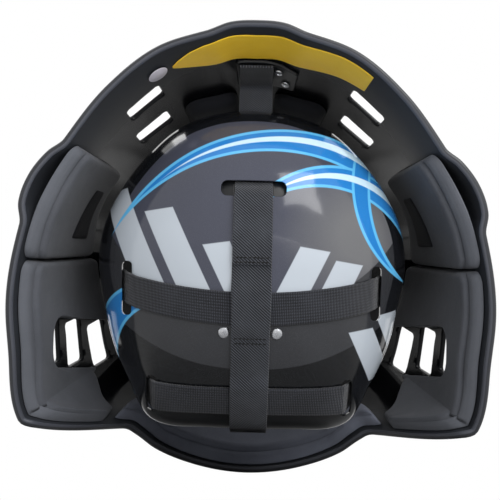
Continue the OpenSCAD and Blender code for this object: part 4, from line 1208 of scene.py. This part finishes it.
def make_fixings():
    piece("cage_clip_set", gather([clip(a) for a in CLIPS]), CLIP_COAT, ["cage_clips"])
    spots = [wall_frame(a, clip_share(a)) for a in CLIPS]
    fixings("cage_screw", lambda: screw(GAP + CLIP_T, SCREW_D, CLIP_T + WALL + 6,
                                        HEAD_D, HEAD_H), spots)
    down = raised(-WALL - GAP - 2 * RELIEF - NUT_T)
    fixings("cage_nut", nut, [f @ down for f in spots])
    spots = [wall_frame(*p) for p in ANCHORS]
    inside = ANCHOR_SEAT + ELASTIC_T + 2 * GAP + WASHER_T
    fixings("anchor_washer", washer, [f @ raised(-inside) for f in spots], WASHER_COAT)

    def anchor_screw():
        r = HEAD_D / 2
        end = upside_down(turned([(0, 0), (r, 0), (r, 0.5), (r - 0.6, 1.6), (0, 1.6)]), inside)
        return gather([screw(GAP, SCREW_D, GAP + inside, HEAD_D, HEAD_H), end])
    fixings("anchor_screw", anchor_screw, spots)
    seat = WALL + 2 * GAP + RELIEF / 2 + BRACKET_T
    fixings("crown_screw", lambda: upside_down(screw(
        seat, CROWN_SCREW_D, WALL + BRACKET_T + 2, CROWN_HEAD_D, CROWN_HEAD_H)),
        [wall_frame(*p) for p in CROWN_SCREWS])
    fixings("plate_rivet", rivet, [plate_frame(s * RIVET_X, RIVET_Z) for s in (-1, 1)],
            body="back_plate")


make_fixings()


# Face cage

RING_WIRES, WIRE_SIDES, WIRE_STEP = 144, 14, 2.5


def wire_lip(a):
    p = on_shell(a, 1, 0)
    out, deeper = on_shell(a, 1, 1) - p, (p - on_shell(a, 0.98, 0)).normalized()
    return p + (WIRE_D / 2 + 2 * GAP) * (out + deeper).normalized()


def halved(low, high, before):
    """The angle between these two at which before(angle) ends."""
    for _ in range(16):
        mid = (low + high) / 2
        low, high = (mid, high) if before(mid) else (low, mid)
    return (low + high) / 2


def lip_angle(z):
    return halved(-89, 89, lambda a: wire_lip(a)[2] < z)


def through(rings, step):
    """Rings at even steps along a smooth curve through these, and their places on it."""
    at = [0]
    for p, q in zip(rings, rings[1:]):
        gap = (sum(q, Vector()) - sum(p, Vector())).length / len(p)
        at.append(at[-1] + max(gap, 1e-3))
    count = max(2, round(at[-1] / step))
    places = [at[-1] * k / count for k in range(count + 1)]
    lines = [list(zip(at, line)) for line in zip(*rings)]
    return [[cubic(line, s) for line in lines] for s in places], places


def wire_rings(route, joined=False):
    rings, side = [], None
    n = len(route)
    for i, p in enumerate(route):
        t = (route[(i + 1) % n] - route[i - 1] if joined
             else route[min(i + 1, n - 1)] - route[max(i - 1, 0)]).normalized()
        if side is None or joined:
            side = t.cross(Vector((0, 1, 0)))
        side = (side - side.dot(t) * t).normalized()
        up, turn = t.cross(side), 2 * math.pi / WIRE_SIDES
        rings.append([p + WIRE_D / 2 * (math.cos(turn * k) * side + math.sin(turn * k) * up)
                      for k in range(WIRE_SIDES)])
    return rings


def make_cage():
    top, low = wire_lip(90)[2], wire_lip(-90)[2]

    def cage_y(x, z):
        e, m = wire_lip(lip_angle(z)), (top + low) / 2
        h = (top - low) / 2 + WIRE_D
        swell = CAGE_BULGE * max(0, 1 - ((z - m) / h) ** 2) ** 0.6
        return e[1] + swell * max(0, 1 - (x / e[0]) ** 2)

    bm = new_form()
    rings = wire_rings([wire_seat(-90 + 360 / RING_WIRES * k) for k in range(RING_WIRES)], True)
    rod(bm, rings + [rings[0]], joined=True)
    bars = []
    for k in range(1, CROSS_BARS + 1):
        z = lerp(low, top, (k + 0.25) / (CROSS_BARS + 1.2))
        a = lip_angle(z)
        e = wire_lip(a)[0]
        bars.append([wire_seat(180 - a)]
                    + [Vector((s / 5 * e, cage_y(s / 5 * e, z), z)) for s in range(-5, 6)]
                    + [wire_seat(a)])
    for k in range(1, UPRIGHT_BARS + 1):
        x = lerp(-0.62, 0.62, (k - 0.5) / UPRIGHT_BARS) * wire_lip(0)[0]
        down, up = (halved(0, end, lambda a: wire_lip(a)[0] > abs(x)) for end in (-89, 89))
        z0, z1 = wire_lip(down)[2], wire_lip(up)[2]
        ends = [wire_seat(180 - a if x < 0 else a) for a in (down, up)]
        middle = []
        for s in range(11):
            z = lerp(z0, z1, s / 10)
            middle.append(Vector((x, cage_y(abs(x), z)
                                  - 0.8 * WIRE_D * math.sin(math.pi * s / 10), z)))
        bars.append([ends[0]] + middle + [ends[1]])
    for bar in bars:
        rings, _ = through([[p] for p in bar], WIRE_STEP)
        rod(bm, wire_rings([p for p, in rings]))
        for end, inner in (bar[:2], bar[:-3:-1]):
            bead = ops.create_icosphere(bm, subdivisions=3, radius=WIRE_D * 0.62)["verts"]
            ops.translate(bm, vec=lerp(end, inner, 0.25), verts=bead)
    piece("cage_wires", stand(bm), CAGE_COAT, ["face_cage"])


make_cage()


# Back plate

PLATE_ROWS, PLATE_TURNS, EDGE_R = 64, 288, 110


def upper_z(x):
    return -UPPER_DROP + UPPER_RISE * (x / UPPER_SLOT_X) ** 2


def lower_z(x):
    return -LOWER_DROP + LOWER_RISE * (x / LOWER_SLOT_X) ** 2


def make_plate():
    r, half = 1 - PLATE_T / 2 / EDGE_R, PLATE_T / 2
    top = [(DISC_R * r * k / PLATE_ROWS, 0) for k in range(PLATE_ROWS + 1)]
    edge = [(DISC_R * (r + half / EDGE_R * sind(q)), -half + half * cosd(q))
            for q in range(18, 163, 18)]
    bottom = [(p[0], -PLATE_T) for p in reversed(top)]
    bm = turned(top + edge + bottom, PLATE_TURNS)
    tool = new_form()
    plate_slot(tool, 0, CROWN_SLOT_Z, CROWN_SLOT_LEN, CROWN_SLOT_HEIGHT)
    for s in (-1, 1):
        plate_slot(tool, s * UPPER_SLOT_X, upper_z(UPPER_SLOT_X), SLOT_W, UPPER_SLOT_H)
        plate_slot(tool, s * LOWER_SLOT_X, lower_z(LOWER_SLOT_X), SLOT_W, LOWER_SLOT_H)
    bm = cut(bm, tool)
    for face in bm.faces:
        face.material_index = 1 if face.calc_center_median().z < -PLATE_T + 0.2 else 0
    piece("back_plate_lacquered", draw_to_plate(bm), [LACQUER, PLATE_IN], ["back_plate"],
          body="back_plate", slot="plate_gloss")


LINER_HALF, LINER_RISE, LINER_T, LINER_OPENING = 19, 7, 1.1, (21.6, 8.4)


def make_slot_liner():
    """A thin liner inside the plate, behind the ends of the crown slot."""
    bm = slab([(x, CROWN_SLOT_Z - LINER_RISE, CROWN_SLOT_Z + LINER_RISE)
               for x in (-LINER_HALF, LINER_HALF)], LINER_T,
              lambda x, z, h: Vector((x, z, -PLATE_T - 0.2 - h)),
              (2 * LINER_HALF, 2 * LINER_RISE), (50, 22), (THIN_EDGE,) * 3, 4, swell=0)
    tool = new_form()
    rod(tool, [[Vector((x, z + CROWN_SLOT_Z, d)) for x, z in rounded(*LINER_OPENING, 1)]
               for d in (-PLATE_T + 2, -PLATE_T - 4)])
    bm = cut(bm, tool)
    for vert in bm.verts:
        vert.co = stood(on_plate(*vert.co))
    piece("slot_liner", bm, BRACKET_COAT, body="back_plate")


make_plate()
make_slot_liner()


# Harness

SELVEDGE, CORD_PITCH, STRAP_STEP = 0.35, 1.5, 1.6


def strap_section(w, t, ribs=0):
    """Section of a strap as (across, height) points, with rounded selvedges. Ribs
    are cords that run along it and stand this far proud."""
    steps = 36
    low = [(-w / 2 + SELVEDGE + (w - 2 * SELVEDGE) * k / steps, -t / 2)
           for k in range(steps + 1)]
    turn = [(w / 2 - SELVEDGE + SELVEDGE * math.cos(q), t / 2 * math.sin(q))
            for q in (-math.pi / 4, 0, math.pi / 4)]
    section = low + turn + [(-x, t / 2) for x, _ in low] + [(-x, -y) for x, y in turn]
    return [(x, h + ribs * math.copysign(1, h)
             * (0.5 + 0.5 * math.cos(2 * math.pi * x / CORD_PITCH))
             if abs(h) > t * 0.45 else h) for x, h in section]


def band(centre, face, section, across=(-1, 0, 0)):
    across, face = Vector(across), Vector(face).normalized()
    return [centre + x * across + h * face for x, h in section]


def strap(name, keys, section, finish, nodes=(), **more):
    rings, places = through(keys, STRAP_STEP)
    bm = new_form()
    rod(bm, rings, [[(s, x, h) for x, h in section] for s in places])
    piece(name, stand(bm), finish, nodes, sharp=60, **more)


TOWARD_WALL = Vector((0.28, 1, 0)).normalized()
ELASTIC_MID, WEB_MID = STRAP_GAP + ELASTIC_T / 2, STRAP_GAP + WEB_T / 2


def slot_middle(x, z):
    return (on_plate(x - SLOT_W / 2, z, 0)
            + Vector((ELASTIC_MID + 0.9, PLATE_T / 2 + 0.6, 0)))


def slot_ring(x, z, section, push=0):
    across = plate_slope(x - SLOT_W / 2, z)
    return band(slot_middle(x, z) + push * TOWARD_WALL, TOWARD_WALL.cross(across), section,
                across)


def lip_ring(x, z, section):
    across, out = plate_slope(x - SLOT_W / 2, z), Vector((1, -1, 0))
    face = (out - out.dot(across) * across).normalized()
    p = on_plate(x - SLOT_W / 2, z, 0)
    return band(p + face * ELASTIC_MID, face, section, across)


def twin(rings):
    return [[flipped(p) for p in ring] for ring in rings]


ELASTICS = (("upper_elastic", UPPER_ANCHOR, UPPER_SLOT_X, upper_z),
            ("lower_elastic", LOWER_ANCHOR, LOWER_SLOT_X, lower_z))


def make_elastics():
    section = strap_section(ELASTIC_W, ELASTIC_T, 0.12)
    for name, _, reach, place in ELASTICS:
        def flat(x):
            z = place(x)
            up = plate_slope(x, z)[2]
            return [on_plate(x, z + s * up, ELASTIC_MID + h) for s, h in section]
        z = place(reach)
        ends = [lip_ring(reach, z, section), slot_ring(reach, z, section)]
        keys = twin(ends[::-1]) + [flat(x / 20 * reach) for x in range(-18, 19)] + ends
        strap(name + "_band", keys, section, ELASTIC, [name], body="back_plate")
    inner = -ANCHOR_SEAT - ELASTIC_T / 2
    for name, (a, v), reach, place in ELASTICS:
        def on_wall(far, lift=0):
            """A ring on the wall, this share of depth past the anchor."""
            u, d = v + far, inner - lift
            c = on_shell(a, u, d)
            face = on_shell(a, u, d + 1) - c
            deeper = (on_shell(a, u + 0.01, d) - on_shell(a, u - 0.01, d)).normalized()
            return band(c, face, section, face.cross(deeper))
        z = place(reach)
        start, lifted = slot_ring(reach, z, section, STRAP_GAP), on_wall(-0.11, 4)
        keys = [start, [lerp(p, q, 0.5) for p, q in zip(start, lifted)], lifted,
                on_wall(-0.065, 0.2), on_wall(0), on_wall(0.05)]
        ends = [[on_shell(a, v - 0.03, inner), slot_middle(reach, z)]]
        for side, turn in (("right", list), ("left", twin)):
            strap(f"{name}_{side}_end", turn(keys), section, ELASTIC, [f"{name}_{side}"],
                  bends=[stood(p) for p in turn(ends)[0]])


def stitch_row(bm, points, outs):
    """A row of thread stitches along points, each a small capsule that dips at its ends."""
    for p, q, out in zip(points, points[1:], outs):
        along = q - p
        side = along.cross(out).normalized()
        rings = []
        for s in (0.12, 0.2, 0.35, 0.5, 0.65, 0.8, 0.88):
            c = p + s * along + out * (0.16 * math.sin(math.pi * (s - 0.1) / 0.8))
            r = 0.4 * math.sin(math.pi * (s - 0.04) / 0.92) ** 0.5
            rings.append([c + r * (math.cos(t) * side + math.sin(t) * out)
                          for t in (k * math.pi / 3 for k in range(6))])
        rod(bm, rings)


SLOT_TURN = on_plate(0, CROWN_SLOT_Z - 1, 0) + Vector((0, PLATE_T / 2, 0))
SLOT_FACE = Vector((0, -0.6, 0.8))
BRACKET_FACE = -WALL - GAP - BRACKET_T - 3 * RELIEF - WEB_T / 2
SWING_AT = on_shell(90, 0.36, BRACKET_FACE) + Vector((0, 0, -2))
LIP_Z = CROWN_SLOT_Z - CROWN_SLOT_HEIGHT / 2
FOLD_T, FOLD_END, FOLD_MID = 1.1, -7.5, STRAP_GAP + WEB_T + 0.6
LOW_LIFT = STRAP_GAP + 0.2


def make_crown_webbing():
    section = strap_section(WEB_W, WEB_T)
    brim = plate_bare(90, 1) + Vector((0, WEB_T / 2 + PLATE_T / 2 + 0.8, 0))

    def hung(v):
        c = on_shell(90, v, BRACKET_FACE)
        return band(c, on_shell(90, v, BRACKET_FACE - 1) - c, section)
    keys = [band(centre, face, section) for centre, face in (
        (SLOT_TURN, SLOT_FACE), (SLOT_TURN + Vector((0, 9, 7)), SLOT_FACE),
        (brim + Vector((0, -1, -6)), (0, -0.8, 0.6)), (brim + Vector((0, 0, 1)), (0, -1, 0.2)),
        (lerp(brim, SWING_AT, 0.7), (0, -1, 0)), (SWING_AT, (0, -1, -0.4)))]
    keys += [hung(v) for v in (0.33, 0.3, 0.265, 0.235)]
    strap("crown_webbing_strap", keys, section, WEBBING, ["crown_webbing"],
          bends=[stood(SWING_AT + Vector((0, 0, 1))), stood(lerp(SWING_AT, brim, 0.45))])


def over_lip(mid, section):
    """A ring over the rounded lower lip of the crown slot."""
    out = Vector((0, -0.7, 0.7))
    return band(on_plate(0, LIP_Z, 0) + out * mid, out, section)


def make_spine():
    section, half = strap_section(WEB_W, WEB_T), ELASTIC_W / 2
    over, up_z, low_z = 2 * STRAP_GAP + ELASTIC_T, -UPPER_DROP, -LOWER_DROP
    # Heights down the plate, and how far the webbing is lifted off it there
    lay = [(LIP_Z - 4, STRAP_GAP), ((LIP_Z + up_z) / 2 + 6, STRAP_GAP),
           (up_z + half + 8, STRAP_GAP), (up_z + half + 1, over), (up_z - half - 1, over),
           (up_z - half - 7, LOW_LIFT), (low_z + half + 6, LOW_LIFT),
           (low_z + half, over + STRAP_GAP), (low_z, over + STRAP_GAP),
           (low_z - half - 0.5, over + STRAP_GAP)]

    def edge(f, lift):
        c = plate_point(-90, f, lift + WEB_T / 2)
        return band(c, plate_point(-90, f, lift + WEB_T / 2 + 1) - c, section)
    keys = [band(SLOT_TURN, SLOT_FACE, section), over_lip(WEB_MID, section)]
    for (z0, l0), (z1, l1) in zip(lay, lay[1:]):
        for k in range(4):
            z, lift = lerp(z0, z1, k / 4), lerp(l0, l1, k / 4)
            keys.append([on_plate(-x, z, lift + WEB_T / 2 + h) for x, h in section])
    tail = plate_point(-90, 0.93, WEB_MID) + SPINE_TAIL * Vector((0, 1, -0.3)).normalized()
    keys += [edge(0.82, over), edge(0.88, 1.2), edge(0.93, STRAP_GAP),
             band(tail, (0, -0.3, -1), section)]
    strap("spine_webbing_strap", keys, section, WEBBING, ["spine_webbing"],
          body="back_plate")
    fold = strap_section(WEB_W - 0.4, FOLD_T)
    keys = [band(SLOT_TURN + SLOT_FACE * (WEB_T + 0.4), SLOT_FACE, fold),
            over_lip(FOLD_MID, fold)]
    for k in range(13):
        z = lerp(LIP_Z - 4, FOLD_END, k / 12)
        keys.append([on_plate(-x, z, FOLD_MID + h) for x, h in fold])
    strap("spine_fold", keys, fold, WEBBING, body="back_plate")
    bm = new_form()
    for lift, rows in ((FOLD_MID + FOLD_T / 2, (-4, -6.3)), (LOW_LIFT + WEB_T, (-45, -47.5))):
        for z in rows:
            spots = [on_plate(-8.5 + 17 * k / 8, z, lift) for k in range(9)]
            stitch_row(bm, spots, [on_plate(0, z, 1) - on_plate(0, z, 0)] * 9)
    piece("spine_stitches", stand(bm), THREAD, body="back_plate", slot="webbing")


make_elastics()
make_crown_webbing()
make_spine()
